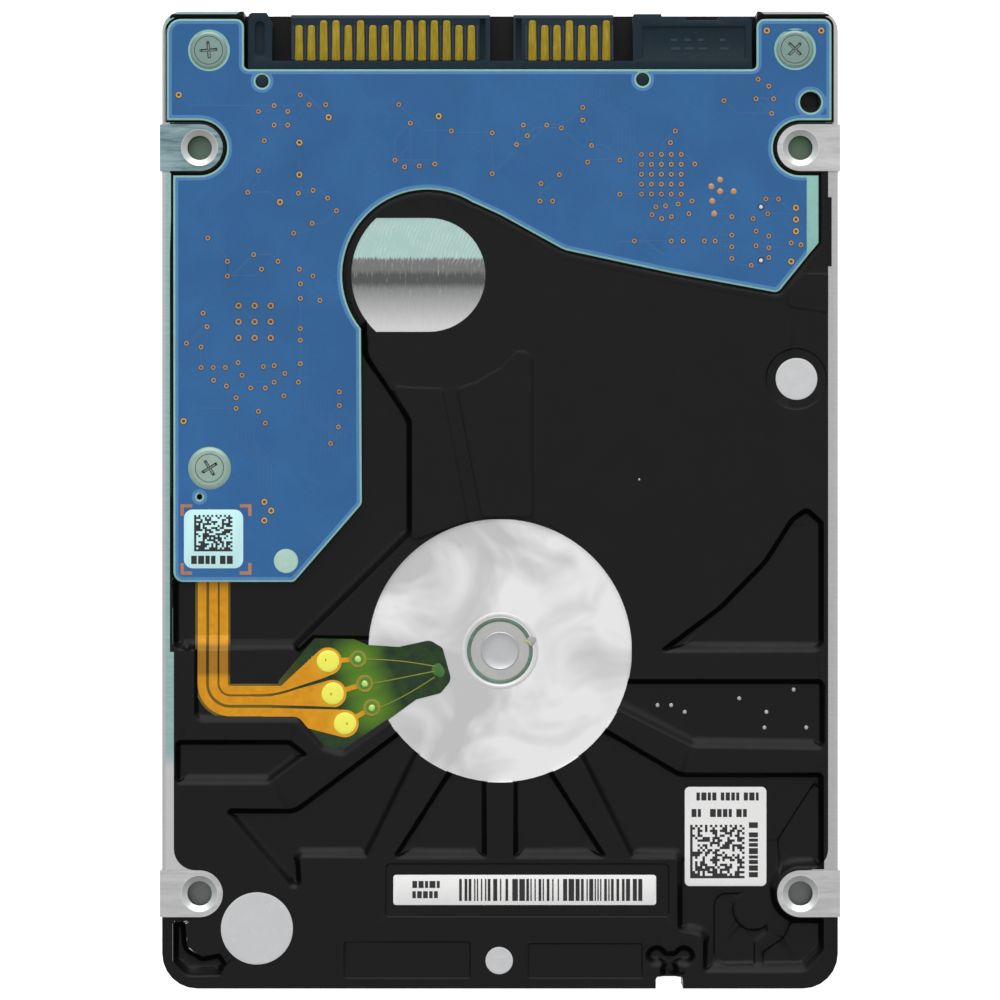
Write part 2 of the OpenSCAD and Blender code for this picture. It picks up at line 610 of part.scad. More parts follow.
module motor_flex_traces() color("#e08f2c") {
    for (r = trace_runs)
        flex_climb(flex_bend[0] - r - trace_w / 2, flex_bend[0] - r + trace_w / 2, flex_t, copper_t);
    slab(z_face + flex_t, z_face + flex_t + copper_t) difference() {
        for (i = [0:2]) {
            flex_run(trace_runs[i], trace_w, -21.5 - i);
            hull() {
                translate([-22.5 - i, flex_bend[1] - trace_runs[i] - trace_w / 2]) square([0.2, trace_w]);
                translate(solder_sites[i]) circle(r = 1.42);
            }
            area([for (p = ribbon([solder_sites[i], ring_sites[i]], 0.5)) [p[0], p[1], 0]]);
            translate(ring_sites[i]) circle(r = 0.88);
        }
        for (p = ring_sites) translate(p) circle(r = 0.4);
        for (g = [0, 1]) flex_gap(g);
    }
}

// Gap that keeps neighbouring traces apart where they flare into the pads
module flex_gap(g) polygon(ribbon(concat(
    [[-25.5, flex_bend[1] - (trace_runs[g] + trace_runs[g + 1]) / 2]],
    bezier(g == 0
        ? [[-24.5, -20.08], [-22, -20.08], [-20.5, -18.9], [-16, -17.9]]
        : [[-24.5, -21.2], [-22, -21.2], [-19, -21.3], [-14.5, -21.5]])
), 0.24));

module motor_flex_joints() color("#f2dc3a") for (p = solder_sites)
    drill(p, 1.13, z_face + flex_t + copper_t, z_face + flex_t + copper_t + 0.2);

// ---------- root: labels and foils ----------

module foil_seals() color("#d4d6d8") {
    drill(large_foil_at, 3.7, z_deck, z_deck + foil_t);
    drill(small_foil_at, 1.4, z_deck, z_deck + foil_t);
    drill(ramp_screw_at, 2.14, z_bed, z_bed + foil_t);
}
module barcode_label() color("#e8e8e8")
    slab(z_bed, z_bed + film_t) plate(-10.96, -41.6, 16.04, -38.5);
module matrix_label() color("#e6e6e6")
    slab(z_pocket, z_pocket + film_t) plate(19, -39.7, 27.4, -29.5, 0.5);
module board_label() color("#dcebf0")
    slab(z_board_top, z_board_top + film_t) plate(-32.46, -7.02, -26.37, -0.98, 0.9);

// ---------- root: motor stator and bearing ----------

slots = 9;
module bearing_sleeve() color("#b48a4a") difference() {
    drill(spindle, sleeve_r, 2.95, z_face - 0.12);
    drill(spindle, shaft_r + 0.02, 2, 5.75);
    drill(spindle, 2, 5.75 - eps, body_h);
}
module thrust_cap() color("#cfd2d5") drill(spindle, 2, 5.75, z_face - 0.2);
module bearing_glue() color("#9fae94") tube(spindle, sleeve_r, sleeve_r + 0.4, z_face - 0.25, z_face - 0.05);

module stator_core() color("#8a8d91") at_spindle() slab(3.75, 4.85) {
    difference() {
        circle(r = 4.5);
        circle(r = 3.6);
    }
    for (i = [0:slots - 1]) rotate(i * 360 / slots) {
        translate([4.2, -0.45]) square([3, 0.9]);
        polygon(sector(7.05, 7.8, -15, 15));
    }
}
module stator_coils() color("#b5673a") at_spindle() for (i = [0:slots - 1]) rotate(i * 360 / slots) difference() {
    translate([4.75, -0.85, 3.45]) cube([2.15, 1.7, 1.7]);
    translate([4, -0.45, 3.75]) cube([4, 0.9, 1.1]);
}

// ---------- rotor body ----------

hub_r = disk_bore_r - 0.08;
flange_r = 11.6;
module spindle_hub() color("#c3c6ca") at_spindle() rotate_extrude() polygon([
    [shaft_r, 1.35], [hub_r, 1.35], [hub_r, z_disk_top], [flange_r, z_disk_top], [flange_r, z_disk_top + 0.6],
    [9.6, z_disk_top + 0.6], [9.6, 5.2], [9, 5.2], [9, 3.25], [3.3, 3.25], [3.3, 2.9], [shaft_r, 2.9]
]);
module spindle_shaft() color("#a9adb2") difference() {
    drill(spindle, shaft_r, 1.35, 5.72);
    drill(spindle, 0.8, 1, 2.6);
}
module rotor_magnet() color("#4a4c50") tube(spindle, 8.1, 9, 3.4, 5.1);
module disk_platter() color("#d7dadd") tube(spindle, disk_bore_r, disk_r, z_disk, z_disk_top);
module disk_clamp() color("#b4b8bd") at_spindle() rotate_extrude() polygon([
    [1, 0.85], [flange_r, 0.85], [flange_r, z_disk], [10.4, z_disk], [10.4, 1.35], [1, 1.35]
]);
module clamp_screw() color("#8f9398") difference() {
    union() {
        drill(spindle, 2.2, 0.66, 0.85);
        drill(spindle, 0.8, 0.85 - eps, 2.5);
    }
    at_spindle() cylinder(r = 0.9, h = 0.78, $fn = 6);
}

// ---------- actuator ----------

coil_angle = 158;
coil_r = 19.3;
arm_z = 0.85;
arm_t = 0.45;
beam_t = 0.12;
bearing_r = 3.3;
// Mirrors a cover side part to the deck side of the disk
module both_faces() {
    children();
    translate([0, 0, 2 * z_disk_mid]) mirror([0, 0, 1]) children();
}
module at_arm() at_pivot() rotate(park_angle) children();

module pivot_shaft() color("#a5a9ad") difference() {
    union() {
        drill(pivot, 1.6, z_rim, z_floor);
        drill(pivot, 2.6, 3.95, z_floor);
    }
    drill(pivot, screw_r, 0, 3.1);
}
module pivot_balls() color("#dfe1e3") at_pivot() for (z = [1.6, 3.2], i = [0:8]) rotate(i * 40)
    translate([2.03, 0, z]) sphere(r = 0.4);
module pivot_sleeve() color("#bcc0c4") tube(pivot, 2.46, bearing_r, 1.1, 3.7);

module actuator_arms() color("#c5c8cb") difference() {
    union() {
        drill(pivot, 4.9, arm_z, 2 * z_disk_mid - arm_z);
        both_faces() at_arm() slab(arm_z, arm_z + arm_t)
            area([[0, -4.6, 0], [12, -3.4, 4], [24.6, -1.7, 0.8], [24.6, 1.7, 0.8], [12, 3.4, 4], [0, 4.6, 0]]);
        at_pivot() rotate(coil_angle) slab(1.95, 2.85) polygon(sector(4.5, 9, -15, 15));
    }
    drill(pivot, bearing_r, 0, 5);
    at_arm() drill([12.5, 0], 1.6, 0, 5);
}

// Load beams taper from the arm to the lift tab beyond the head
module head_suspensions() color("#d9dbdd") both_faces() at_arm() {
    slab(arm_z + arm_t, arm_z + arm_t + beam_t) area([
        [20.6, -1.6, 0.4], [24.5, -1.6, 1], [head_reach + 0.4, -0.45, 0.2], [head_reach + 2.4, -0.3, 0.2],
        [head_reach + 2.4, 0.3, 0.2], [head_reach + 0.4, 0.45, 0.2], [24.5, 1.6, 1], [20.6, 1.6, 0.4]
    ]);
    slab(arm_z + arm_t + beam_t, 1.62) plate(head_reach - 0.4, -0.3, head_reach + 0.3, 0.3, 0);
}
module head_sliders() color("#4b4d52") both_faces() at_arm() slab(1.62, z_disk - 0.03)
    plate(head_reach - 0.6, -0.4, head_reach + 0.6, 0.4, 0);

module voice_coil() color("#b8683a") at_pivot() rotate(coil_angle) slab(1.95, 2.95) difference() {
    polygon(sector(11.5, coil_r, -17.5, 17.5));
    polygon(sector(13.6, 17.2, -10, 10));
}
module coil_frame() color("#3a3c40") at_pivot() rotate(coil_angle) slab(1.95, 2.85) {
    difference() {
        polygon(sector(9, coil_r + 0.9, -19.5, 19.5));
        polygon(sector(11.5, coil_r, -17.5, 17.5));
    }
    polygon(sector(coil_r + 0.8, 21.65, 17.5, 19.5));
}

// ---------- voice coil motor and chamber parts ----------

yoke_span = [91, 188];
module yoke_outline(r0, r1, a0, a1, gap) intersection() {
    at_pivot() polygon(sector(r0, r1, a0, a1));
    offset(delta = -gap) cavity_outline();
}
module yoke_cover_side() color("#9da1a5")
    slab(0.64, 1.2) yoke_outline(10.2, 21.4, yoke_span[0], yoke_span[1], 0.3);
module yoke_deck_side() color("#9da1a5")
    slab(3.6, z_floor) yoke_outline(10.2, 21.4, yoke_span[0], yoke_span[1], 0.3);
module drive_magnets() color("#6f7276") {
    slab(1.2, 1.75) yoke_outline(11, 20.6, 101, 181, 1);
    slab(3.15, 3.6) yoke_outline(11, 20.6, 101, 181, 1);
}
module yoke_posts() color("#8c9094") {
    at_pivot() for (q = [[92.8, 18.4], [186.5, 19]]) rotate(q[0]) drill([q[1], 0], 0.9, 1.2, 3.6);
}
module crash_stops() color("#2b2c2e") at_pivot() for (a = [96, 185.5]) rotate(a) drill([14, 0], 0.8, 1.2, 3.6);

// Plastic ramp that lifts both heads off the disk edge
module load_ramp() color("#e3ddca") difference() {
    union() {
        at_pivot() slab(1.3, z_floor) polygon(sector(37, 40.4, -27, -14));
        slab(1.3, z_floor) translate(ramp_screw_at) circle(r = 2);
        both_faces() at_pivot() slab(1.45, 1.78) polygon(sector(34.7, 37.2, -31, -20));
    }
    drill(ramp_screw_at, screw_r, 0, 5);
    at_spindle() slab(1.7, z_disk_top + 0.25) circle(r = disk_r + 0.3);
}
module ramp_screw() color("#95999e") union() {
    drill(ramp_screw_at, 1.3, 1.04, 1.3);
    drill(ramp_screw_at, screw_r, 1.3 - eps, 5.6);
}

module latch_lever() color("#46484c") slab(2, 2.8) difference() {
    union() {
        translate(latch_at) circle(r = 1.1);
        plate(-30.9, 16.5, -29.95, 26.1, 0);
        plate(-30.9, 25.2, -29.45, 26.1, 0);
    }
    translate(latch_at) circle(r = 0.43);
}
module latch_pin() color("#a0a4a8") drill(latch_at, 0.4, 1.2, z_floor + 0.6);

module actuator_flex() color("#b9772e") at_pivot() slab(1.5, 3)
    polygon(ribbon(concat(arc(5.05, 88, 62, 8), bezier([[4, 4.9], [5.2, 6.6], [7.2, 6.6], [8.5, 8.1]])), 0.1));
module flex_bracket() color("#515459") slab(1.2, z_floor) difference() {
    plate(-1.2, 31.4, 6.4, 38.6, 0.5);
    plate(-1.5 - eps, 34.7, 6.5, 37.3, 0);
}
module head_header() color("#35373a") slab(z_floor - 0.9, z_board) plate(-1, 35, 6, 37, 0.2);
module recirculation_filter() color("#eceeed") slab(1.1, z_floor) area([
    [20, 36, 0.6], [24.6, 33.2, 0.6], [26.2, 35.6, 0.6], [21.6, 38.6, 0.6]
]);
module breather_filter() color("#2c2d2f") drill(large_foil_at, 2.5, 4.4, z_deck - 0.3);

// ---------- assembly ----------

base_casting();
top_cover();
cover_gasket();
cover_screws();
cover_label();
circuit_board();
board_vias();
controller_chip();
memory_chip();
motor_driver_chip();
board_passives();
board_insulator();
board_screws_flat();
board_screw_pan();
connector_housing();
power_contacts();
signal_contacts();
motor_flex_film();
motor_flex_traces();
motor_flex_joints();
foil_seals();
barcode_label();
matrix_label();
board_label();
bearing_sleeve();
thrust_cap();
bearing_glue();
stator_core();
stator_coils();
spindle_hub();
spindle_shaft();
rotor_magnet();
disk_platter();
disk_clamp();
clamp_screw();
pivot_shaft();
pivot_balls();
pivot_sleeve();
actuator_arms();
head_suspensions();
head_sliders();
voice_coil();
coil_frame();
yoke_cover_side();
yoke_deck_side();
drive_magnets();
yoke_posts();
crash_stops();
load_ramp();
ramp_screw();
latch_lever();
latch_pin();
actuator_flex();
flex_bracket();
head_header();
recirculation_filter();
breather_filter();
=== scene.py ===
import math
from collections import defaultdict

import bmesh
import bpy
import numpy as np
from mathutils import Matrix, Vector
from mathutils.geometry import delaunay_2d_cdt


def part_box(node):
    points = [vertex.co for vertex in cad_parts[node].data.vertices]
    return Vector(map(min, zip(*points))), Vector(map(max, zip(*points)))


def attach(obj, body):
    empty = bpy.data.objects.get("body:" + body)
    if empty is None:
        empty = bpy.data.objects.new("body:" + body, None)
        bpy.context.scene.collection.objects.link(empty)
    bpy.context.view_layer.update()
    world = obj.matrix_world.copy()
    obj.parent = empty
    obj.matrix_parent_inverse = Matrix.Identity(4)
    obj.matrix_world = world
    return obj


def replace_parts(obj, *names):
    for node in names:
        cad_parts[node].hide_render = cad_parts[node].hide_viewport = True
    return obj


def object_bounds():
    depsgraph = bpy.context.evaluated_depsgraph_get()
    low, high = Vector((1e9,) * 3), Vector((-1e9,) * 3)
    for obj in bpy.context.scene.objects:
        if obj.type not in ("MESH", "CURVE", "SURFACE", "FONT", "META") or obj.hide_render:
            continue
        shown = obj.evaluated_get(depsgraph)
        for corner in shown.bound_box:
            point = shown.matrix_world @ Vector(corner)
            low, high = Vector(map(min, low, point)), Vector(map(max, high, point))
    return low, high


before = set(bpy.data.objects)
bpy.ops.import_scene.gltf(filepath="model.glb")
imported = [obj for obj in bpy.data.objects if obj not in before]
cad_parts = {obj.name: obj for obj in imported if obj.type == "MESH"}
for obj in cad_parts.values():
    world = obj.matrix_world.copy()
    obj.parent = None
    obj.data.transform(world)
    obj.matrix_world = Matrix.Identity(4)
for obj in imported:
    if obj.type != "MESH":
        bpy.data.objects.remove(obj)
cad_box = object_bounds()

MM = 0.001
rng = np.random.default_rng(11)


# ---------- sizes read from the frame, in millimetres ----------

def corners(node):
    lo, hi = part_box(node)
    return np.array(lo) / MM, np.array(hi) / MM


def middle(node):
    return sum(corners(node)) / 2


def cad_mesh(node):
    """Vertices in millimetres and triangles of a CAD node."""
    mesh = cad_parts[node].data
    mesh.calc_loop_triangles()
    co = np.empty(len(mesh.vertices) * 3, np.float32)
    mesh.vertices.foreach_get("co", co)
    tri = np.empty(len(mesh.loop_triangles) * 3, np.int32)
    mesh.loop_triangles.foreach_get("vertices", tri)
    return co.reshape(-1, 3).astype(float) / MM, tri.reshape(-1, 3)


def islands(node):
    """Separate solids of a CAD node as a list of vertex arrays."""
    co, tri = cad_mesh(node)
    key = {}
    ids = np.array([key.setdefault(tuple(k), len(key)) for k in np.round(co, 3).tolist()])
    label, before = np.arange(len(key)), None
    while before is None or (label != before).any():
        before = label.copy()
        lowest = label[ids[tri]].min(1)
        for k in range(3):
            np.minimum.at(label, ids[tri[:, k]], lowest)
    return [co[label[ids] == v] for v in np.unique(label)]


def level_edges(node, *levels):
    """Outlines of the flat upward faces of a CAD node at the given heights, as segments."""
    co, tri = cad_mesh(node)
    found = []
    for z in levels:
        flat = tri[(abs(co[tri][:, :, 2] - z) < 0.004).all(1)]
        p = co[flat][:, :, :2]
        turn = np.cross(p[:, 1] - p[:, 0], p[:, 2] - p[:, 0])
        p = np.round(p[turn > 1e-6] * 1000).astype(np.int64)
        ends = np.concatenate([p[:, [0, 1]], p[:, [1, 2]], p[:, [2, 0]]]).reshape(-1, 4)
        flip = (ends[:, 0] > ends[:, 2]) | ((ends[:, 0] == ends[:, 2]) & (ends[:, 1] > ends[:, 3]))
        ends[flip] = ends[flip][:, [2, 3, 0, 1]]
        kept, times = np.unique(ends, axis=0, return_counts=True)
        found.append(kept[times % 2 == 1].reshape(-1, 2, 2) / 1000)
    return np.concatenate(found)


# ---------- fields over the footprint ----------

STEP = 0.14
GX = np.arange(-36.037, 36, STEP)
GY = np.arange(-51.541, 51.5, STEP)


def filled(segments):
    """True at the grid points inside the outlines."""
    flips = np.zeros((len(GY), len(GX) + 1), np.int32)
    for (x0, y0), (x1, y1) in segments:
        if y0 == y1:
            continue
        if y0 > y1:
            x0, y0, x1, y1 = x1, y1, x0, y0
        rows = np.arange(np.searchsorted(GY, y0), np.searchsorted(GY, y1))
        cross = x0 + (GY[rows] - y0) * (x1 - x0) / (y1 - y0)
        np.add.at(flips, (rows, np.searchsorted(GX, cross)), 1)
    return np.cumsum(flips, axis=1)[:, :-1] % 2 == 1


def signed(segments, reach, area=None):
    """Distance to the outlines, positive in the area (or inside the outlines), cut off at reach."""
    far = np.full((len(GY), len(GX)), float(reach))
    for a, b in segments:
        i0, i1 = np.searchsorted(GX, [min(a[0], b[0]) - reach, max(a[0], b[0]) + reach])
        j0, j1 = np.searchsorted(GY, [min(a[1], b[1]) - reach, max(a[1], b[1]) + reach])
        x, y = np.meshgrid(GX[i0:i1] - a[0], GY[j0:j1] - a[1])
        d = b - a
        t = np.clip((x * d[0] + y * d[1]) / max(d @ d, 1e-12), 0, 1)
        np.minimum(far[j0:j1, i0:i1], np.hypot(x - t * d[0], y - t * d[1]), out=far[j0:j1, i0:i1])
    return np.where(filled(segments) if area is None else area, far, -far)


def at(field, p):
    """Value of a field at points, between its grid points."""
    u = np.clip((p[:, 0] - GX[0]) / STEP, 0, len(GX) - 1.001)
    v = np.clip((p[:, 1] - GY[0]) / STEP, 0, len(GY) - 1.001)
    i, j = u.astype(int), v.astype(int)
    s, t = u - i, v - j
    return (field[j, i] * (1 - s) * (1 - t) + field[j, i + 1] * s * (1 - t)
            + field[j + 1, i] * (1 - s) * t + field[j + 1, i + 1] * s * t)


def level_lines(field, level):
    """Segments where a field crosses a level."""
    f = field - level
    f = np.where(f == 0, 1e-9, f)
    pts = np.stack(np.meshgrid(GX, GY), -1)

    def crossing(a, b, pa, pb):
        t = a / np.where(a == b, 1, a - b)
        return (a > 0) != (b > 0), pa + (pb - pa) * t[..., None]

    a, b, c, d = f[:-1, :-1], f[:-1, 1:], f[1:, 1:], f[1:, :-1]
    pa, pb, pc, pd = pts[:-1, :-1], pts[:-1, 1:], pts[1:, 1:], pts[1:, :-1]
    sides = [crossing(a, b, pa, pb), crossing(b, c, pb, pc), crossing(d, c, pd, pc), crossing(a, d, pa, pd)]
    count = sum(s[0].astype(int) for s in sides)
    out = []
    for i in range(4):
        for j in range(i + 1, 4):
            pick = sides[i][0] & sides[j][0] & (count == 2)
            out.append(np.stack([sides[i][1][pick], sides[j][1][pick]], 1))
    for i, j in ((0, 3), (1, 2)):
        pick = count == 4
        out.append(np.stack([sides[i][1][pick], sides[j][1][pick]], 1))
    return np.concatenate(out)


def thin_out(line, tol):
    """Drops the points of a polyline that lie within tol of its simpler shape."""
    keep = np.zeros(len(line), bool)
    keep[[0, -1]] = True
    stack = [(0, len(line) - 1)]
    while stack:
        i, j = stack.pop()
        if j - i < 2:
            continue
        d = line[j] - line[i]
        q = line[i + 1:j] - line[i]
        n = np.hypot(*d)
        off = np.hypot(*q.T) if n < 1e-9 else abs(d[0] * q[:, 1] - d[1] * q[:, 0]) / n
        k = int(off.argmax())
        if off[k] > tol:
            keep[i + 1 + k] = True
            stack += [(i, i + 1 + k), (i + 1 + k, j)]
    return line[keep]


def polylines(segments, tol=0.012):
    """Joins segments end to end and thins them out."""
    key = [(tuple(a), tuple(b)) for a, b in np.round(segments, 4).tolist()]
    ends = defaultdict(list)
    for k, (a, b) in enumerate(key):
        ends[a].append(k)
        ends[b].append(k)
    used, lines = set(), []
    for k in range(len(key)):
        if k in used or key[k][0] == key[k][1]:
            continue
        used.add(k)
        line = list(key[k])
        for side in (1, 0):
            while True:
                tip = line[-1] if side else line[0]
                step = next((s for s in ends[tip] if s not in used), None)
                if step is None:
                    break
                used.add(step)
                other = key[step][1] if key[step][0] == tip else key[step][0]
                line.insert(len(line) if side else 0, other)
        lines.append(thin_out(np.array(line), tol))
    return lines


def circle(centre, r, n=48):
    a = np.linspace(0, 2 * math.pi, n + 1)
    return np.array(centre[:2]) + r * np.stack([np.cos(a), np.sin(a)], 1)


def region(lines, keep, height):
    """Triangles between the lines where keep(points) is true, at the height that height(points) gives."""
    index, edges = {}, []
    for line in lines:
        ids = [index.setdefault(tuple(p), len(index)) for p in np.round(line, 3).tolist()]
        edges += [e for e in zip(ids[:-1], ids[1:]) if e[0] != e[1]]
    verts, _, faces, _, _, _ = delaunay_2d_cdt([Vector(p) for p in index], edges, [], 0, 1e-4)
    xy = np.array([tuple(v) for v in verts])
    tri = np.array(faces)
    tri = tri[keep(xy[tri].mean(1))]
    used, tri = np.unique(tri, return_inverse=True)
    xy = xy[used]
    return np.column_stack([xy, height(xy)]), tri.reshape(-1, 3)


def inside(points, segments):
    """Even-odd test of points against outlines."""
    ax, ay, bx, by = segments[:, 0, 0], segments[:, 0, 1], segments[:, 1, 0], segments[:, 1, 1]
    slope = (bx - ax) / np.where(by == ay, 1, by - ay)
    out = np.empty(len(points), bool)
    for s in range(0, len(points), 1500):
        px, py = points[s:s + 1500, 0:1], points[s:s + 1500, 1:2]
        hit = ((ay > py) != (by > py)) & (px < ax + (py - ay) * slope)
        out[s:s + 1500] = hit.sum(1) % 2 == 1
    return out


def ease(t):
    t = np.clip(t, 0, 1)
    return t * t * (3 - 2 * t)


# ---------- materials ----------

def srgb(code):
    """Linear colour of an sRGB code such as 20a0ff."""
    parts = [int(code[k:k + 2], 16) / 255 for k in (0, 2, 4)]
    return tuple(v / 12.92 if v <= 0.04045 else ((v + 0.055) / 1.055) ** 2.4 for v in parts) + (1,)


class Tree:
    """A shader tree with a short form for making its nodes."""

    def __init__(self, tree):
        self.tree = tree

    def link(self, value, socket):
        if isinstance(value, bpy.types.NodeSocket):
            self.tree.links.new(value, socket)
        else:
            socket.default_value = srgb(value) if isinstance(value, str) else value

    def node(self, kind, inputs, output=0, **settings):
        """One output of a new node; inputs are in order, or by name or number in a dict."""
        n = self.tree.nodes.new("ShaderNode" + kind)
        for name, value in settings.items():
            setattr(n, name, value)
        for socket, value in inputs.items() if isinstance(inputs, dict) else enumerate(inputs):
            self.link(value, n.inputs[socket])
        return n.outputs[output]


class Net(Tree):
    """A material whose parts are placed in millimetre coordinates of the row frame."""

    def __init__(self, name):
        self.mat = bpy.data.materials.new(name)
        self.mat.use_nodes = True
        super().__init__(self.mat.node_tree)
        self.mm = self.node("VectorMath", {0: self.node("TexCoord", (), "Object"), "Scale": 1000}, operation="SCALE")
        self.x, self.y, self.z = self.split(self.mm)

    def split(self, vector):
        return [self.node("SeparateXYZ", (vector,), k) for k in range(3)]

    def normal(self, kind):
        return self.split(self.node("NewGeometry", (), kind))

    def math(self, op, *args):
        return self.node("Math", args, operation=op)

    def above(self, v, a, b):
        """0 below a, 1 above b."""
        return self.node("MapRange", (v, a, b))

    def distance(self, p):
        flat = self.node("VectorMath", (self.mm, (1, 1, 0)), operation="MULTIPLY")
        return self.node("VectorMath", (flat, (p[0], p[1], 0)), "Value", operation="DISTANCE")

    def disc(self, p, r, soft=0.03):
        return self.above(self.distance(p), r + soft, r - soft)

    def chain(self, op, values):
        out = values[0]
        for v in values[1:]:
            out = self.math(op, out, v)
        return out

    def any(self, *masks):
        return self.chain("MAXIMUM", masks)

    def mul(self, *values):
        """Product; on masks, where all of them hold."""
        return self.chain("MULTIPLY", values)

    def add(self, *values):
        return self.chain("ADD", values)

    def noise(self, scale, detail=3.0, rough=0.55, stretch=None, warp=0.0):
        place = self.node("VectorMath", (self.mm, stretch), operation="MULTIPLY") if stretch else self.mm
        return self.node("TexNoise", {"Scale": scale, "Detail": detail, "Roughness": rough, "Distortion": warp,
                                      "Vector": place}, "Fac")

    def mix(self, factor, a, b):
        """Mix of colours or vectors."""
        return self.node("Mix", {0: factor, 6: a, 7: b}, 2, data_type="RGBA")

    def blend(self, factor, a, b):
        """Mix of numbers."""
        return self.node("Mix", {0: factor, 2: a, 3: b})

    def bump(self, height, strength, depth):
        """Depth is the height of the relief in millimetres."""
        return self.node("Bump", {"Strength": strength, "Distance": depth * MM, "Height": height})

    def done(self, color, rough, metal=0.0, normal=None, **extra):
        surface = self.tree.nodes["Principled BSDF"]
        for name, value in (("Base Color", color), ("Roughness", rough), ("Metallic", metal), ("Normal", normal)):
            if value is not None:
                self.link(value, surface.inputs[name])
        for name, value in extra.items():
            self.link(value, surface.inputs[name.replace("_", " ")])
        return self.mat


def finish(name, color, dark=0.8, metal=0.0, rough=(0.35, 0.5), grain=1.5, relief=0.01, stretch=None, coat=0.0,
           spec=0.5, patches=0.25):
    """A worn finish: colour mottled between two scales, uneven gloss, fine relief and rubbed patches."""
    n, color = Net(name), srgb(color)
    large, small = n.noise(patches, 4, 0.6, warp=0.4), n.noise(grain, 5, 0.65, stretch)
    deep = tuple(c * dark for c in color[:3]) + (1,)
    tone = n.mix(n.above(large, 0.3, 0.7), deep, color)
    pale = tuple(min(1, c * 1.12 + 0.01) for c in color[:3]) + (1,)
    tone = n.mix(n.mul(n.above(small, 0.5, 0.8), 0.6), tone, pale)
    gloss = n.blend(n.above(n.add(large, n.mul(small, 0.5)), 0.5, 1.0), rough[0], rough[1])
    scratch = n.noise(grain * 2.2, 2, 0.5, (0.25, 3.5, 1))
    height = n.add(small, n.mul(n.above(scratch, 0.62, 0.7), 0.5))
    return n.done(tone, gloss, metal, n.bump(height, 0.5, relief), Coat_Weight=coat, Specular_IOR_Level=spec)


def finishes(*looks):
    return [finish(*look) for look in looks]


# ---------- pieces ----------

def smooth(obj, angle):
    obj.data.shade_smooth()
    obj.data.set_sharp_from_angle(angle=math.radians(angle))


def solid(name, verts, faces, materials=()):
    """A mesh object from vertices in millimetres."""
    mesh = bpy.data.meshes.new(name)
    mesh.from_pydata((np.asarray(verts, float) * MM).tolist(), [], [list(map(int, f)) for f in faces])
    mesh.validate()
    for m in materials:
        mesh.materials.append(m)
    obj = bpy.data.objects.new(name, mesh)
    bpy.context.scene.collection.objects.link(obj)
    return obj


def piece(name, verts, faces, materials, slot, angle=35):
    """A mesh in millimetres becomes a piece of the object that rides on the chassis."""
    obj = solid(name, verts, faces, materials if isinstance(materials, list) else [materials])
    smooth(obj, angle)
    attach(obj, "chassis")
    return obj


class Build:
    """Collects shapes into one mesh, each with its material number."""

    def __init__(self):
        self.verts, self.faces, self.slots = [], [], []

    def add(self, verts, faces, slot=0):
        base = len(self.verts)
        self.verts += [tuple(map(float, v)) for v in verts]
        self.faces += [[base + int(i) for i in f] for f in faces]
        self.slots += [slot] * len(faces)

    def lathe(self, centre, base, profile, n=24, slot=0, wobble=0.0, cap=True):
        """Turns a profile of (radius, height over base) about a vertical axis, with a little unevenness."""
        ph = rng.uniform(0, 6.28, 3)
        verts = []
        for r, z in profile:
            for k in range(n):
                a = 2 * math.pi * k / n
                waves = math.sin(2 * a + ph[0]) + 0.6 * math.sin(3 * a + ph[1]) + 0.3 * math.sin(5 * a + ph[2])
                w = r * (1 + wobble * waves)
                verts.append((centre[0] + w * math.cos(a), centre[1] + w * math.sin(a), base + z))
        last = (len(profile) - 1) * n
        faces = [(i + k, i + (k + 1) % n, i + n + (k + 1) % n, i + n + k)
                 for i in range(0, last, n) for k in range(n)]
        if cap and profile[-1][0] > 0.001:
            faces.append(range(last, last + n))
        self.add(verts, faces, slot)

    def slab(self, outline, z0, z1, slot=0):
        """Outline extruded from z0 to z1, open below."""
        n = len(outline)
        verts = [(p[0], p[1], z0) for p in outline] + [(p[0], p[1], z1) for p in outline]
        self.add(verts, [(k, (k + 1) % n, n + (k + 1) % n, n + k) for k in range(n)] + [list(range(n, 2 * n))], slot)

    def bar(self, x0, y0, x1, y1, z0, z1, slot=0, swap=False):
        pts = [(x0, y0), (x1, y0), (x1, y1), (x0, y1)]
        self.slab([(p[1], p[0]) for p in reversed(pts)] if swap else pts, z0, z1, slot)

    def strip(self, path, width, z0, z1, slot=0):
        """Flat strip with a rounded top along a path of (x, y) points."""
        path = np.array(path, float)
        d = np.gradient(path, axis=0)
        side = np.stack([-d[:, 1], d[:, 0]], 1) / np.maximum(np.hypot(*d.T), 1e-9)[:, None]
        rows = [(-0.5, z0), (-0.42, z0 + 0.7 * (z1 - z0)), (0, z1), (0.42, z0 + 0.7 * (z1 - z0)), (0.5, z0)]
        verts = [(*(p + s * width * f), z) for p, s in zip(path, side) for f, z in rows]
        corner = [5 * i + k for i in range(len(path) - 1) for k in range(4)]
        self.add(verts, [(c + 5, c + 6, c + 1, c) for c in corner], slot)

    def make(self, name, materials, slot, angle=35):
        obj = piece(name, self.verts, self.faces, materials, slot, angle)
        obj.data.polygons.foreach_set("material_index", self.slots)
        return obj


def closed_sheet(verts, faces, thickness):
    """A sheet gets a rim and an underside, with their own vertices so that its edge stays crisp."""
    n = len(verts)
    under = verts - (0, 0, thickness)
    ends = np.concatenate([faces[:, [0, 1]], faces[:, [1, 2]], faces[:, [2, 0]]])
    ends = {(a, b) for a, b in ends.tolist()}
    walls, sides = [], []
    for a, b in ends:
        if (b, a) not in ends:
            k = 2 * n + len(walls)
            walls += [verts[a], verts[b], under[b], under[a]]
            sides.append((k, k + 3, k + 2, k + 1))
    return np.concatenate([verts, under, np.array(walls)]), faces.tolist() + (faces[:, ::-1] + n).tolist() + sides


def paint(node, material):
    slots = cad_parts[node].data.materials
    slots.clear()
    slots.append(material)


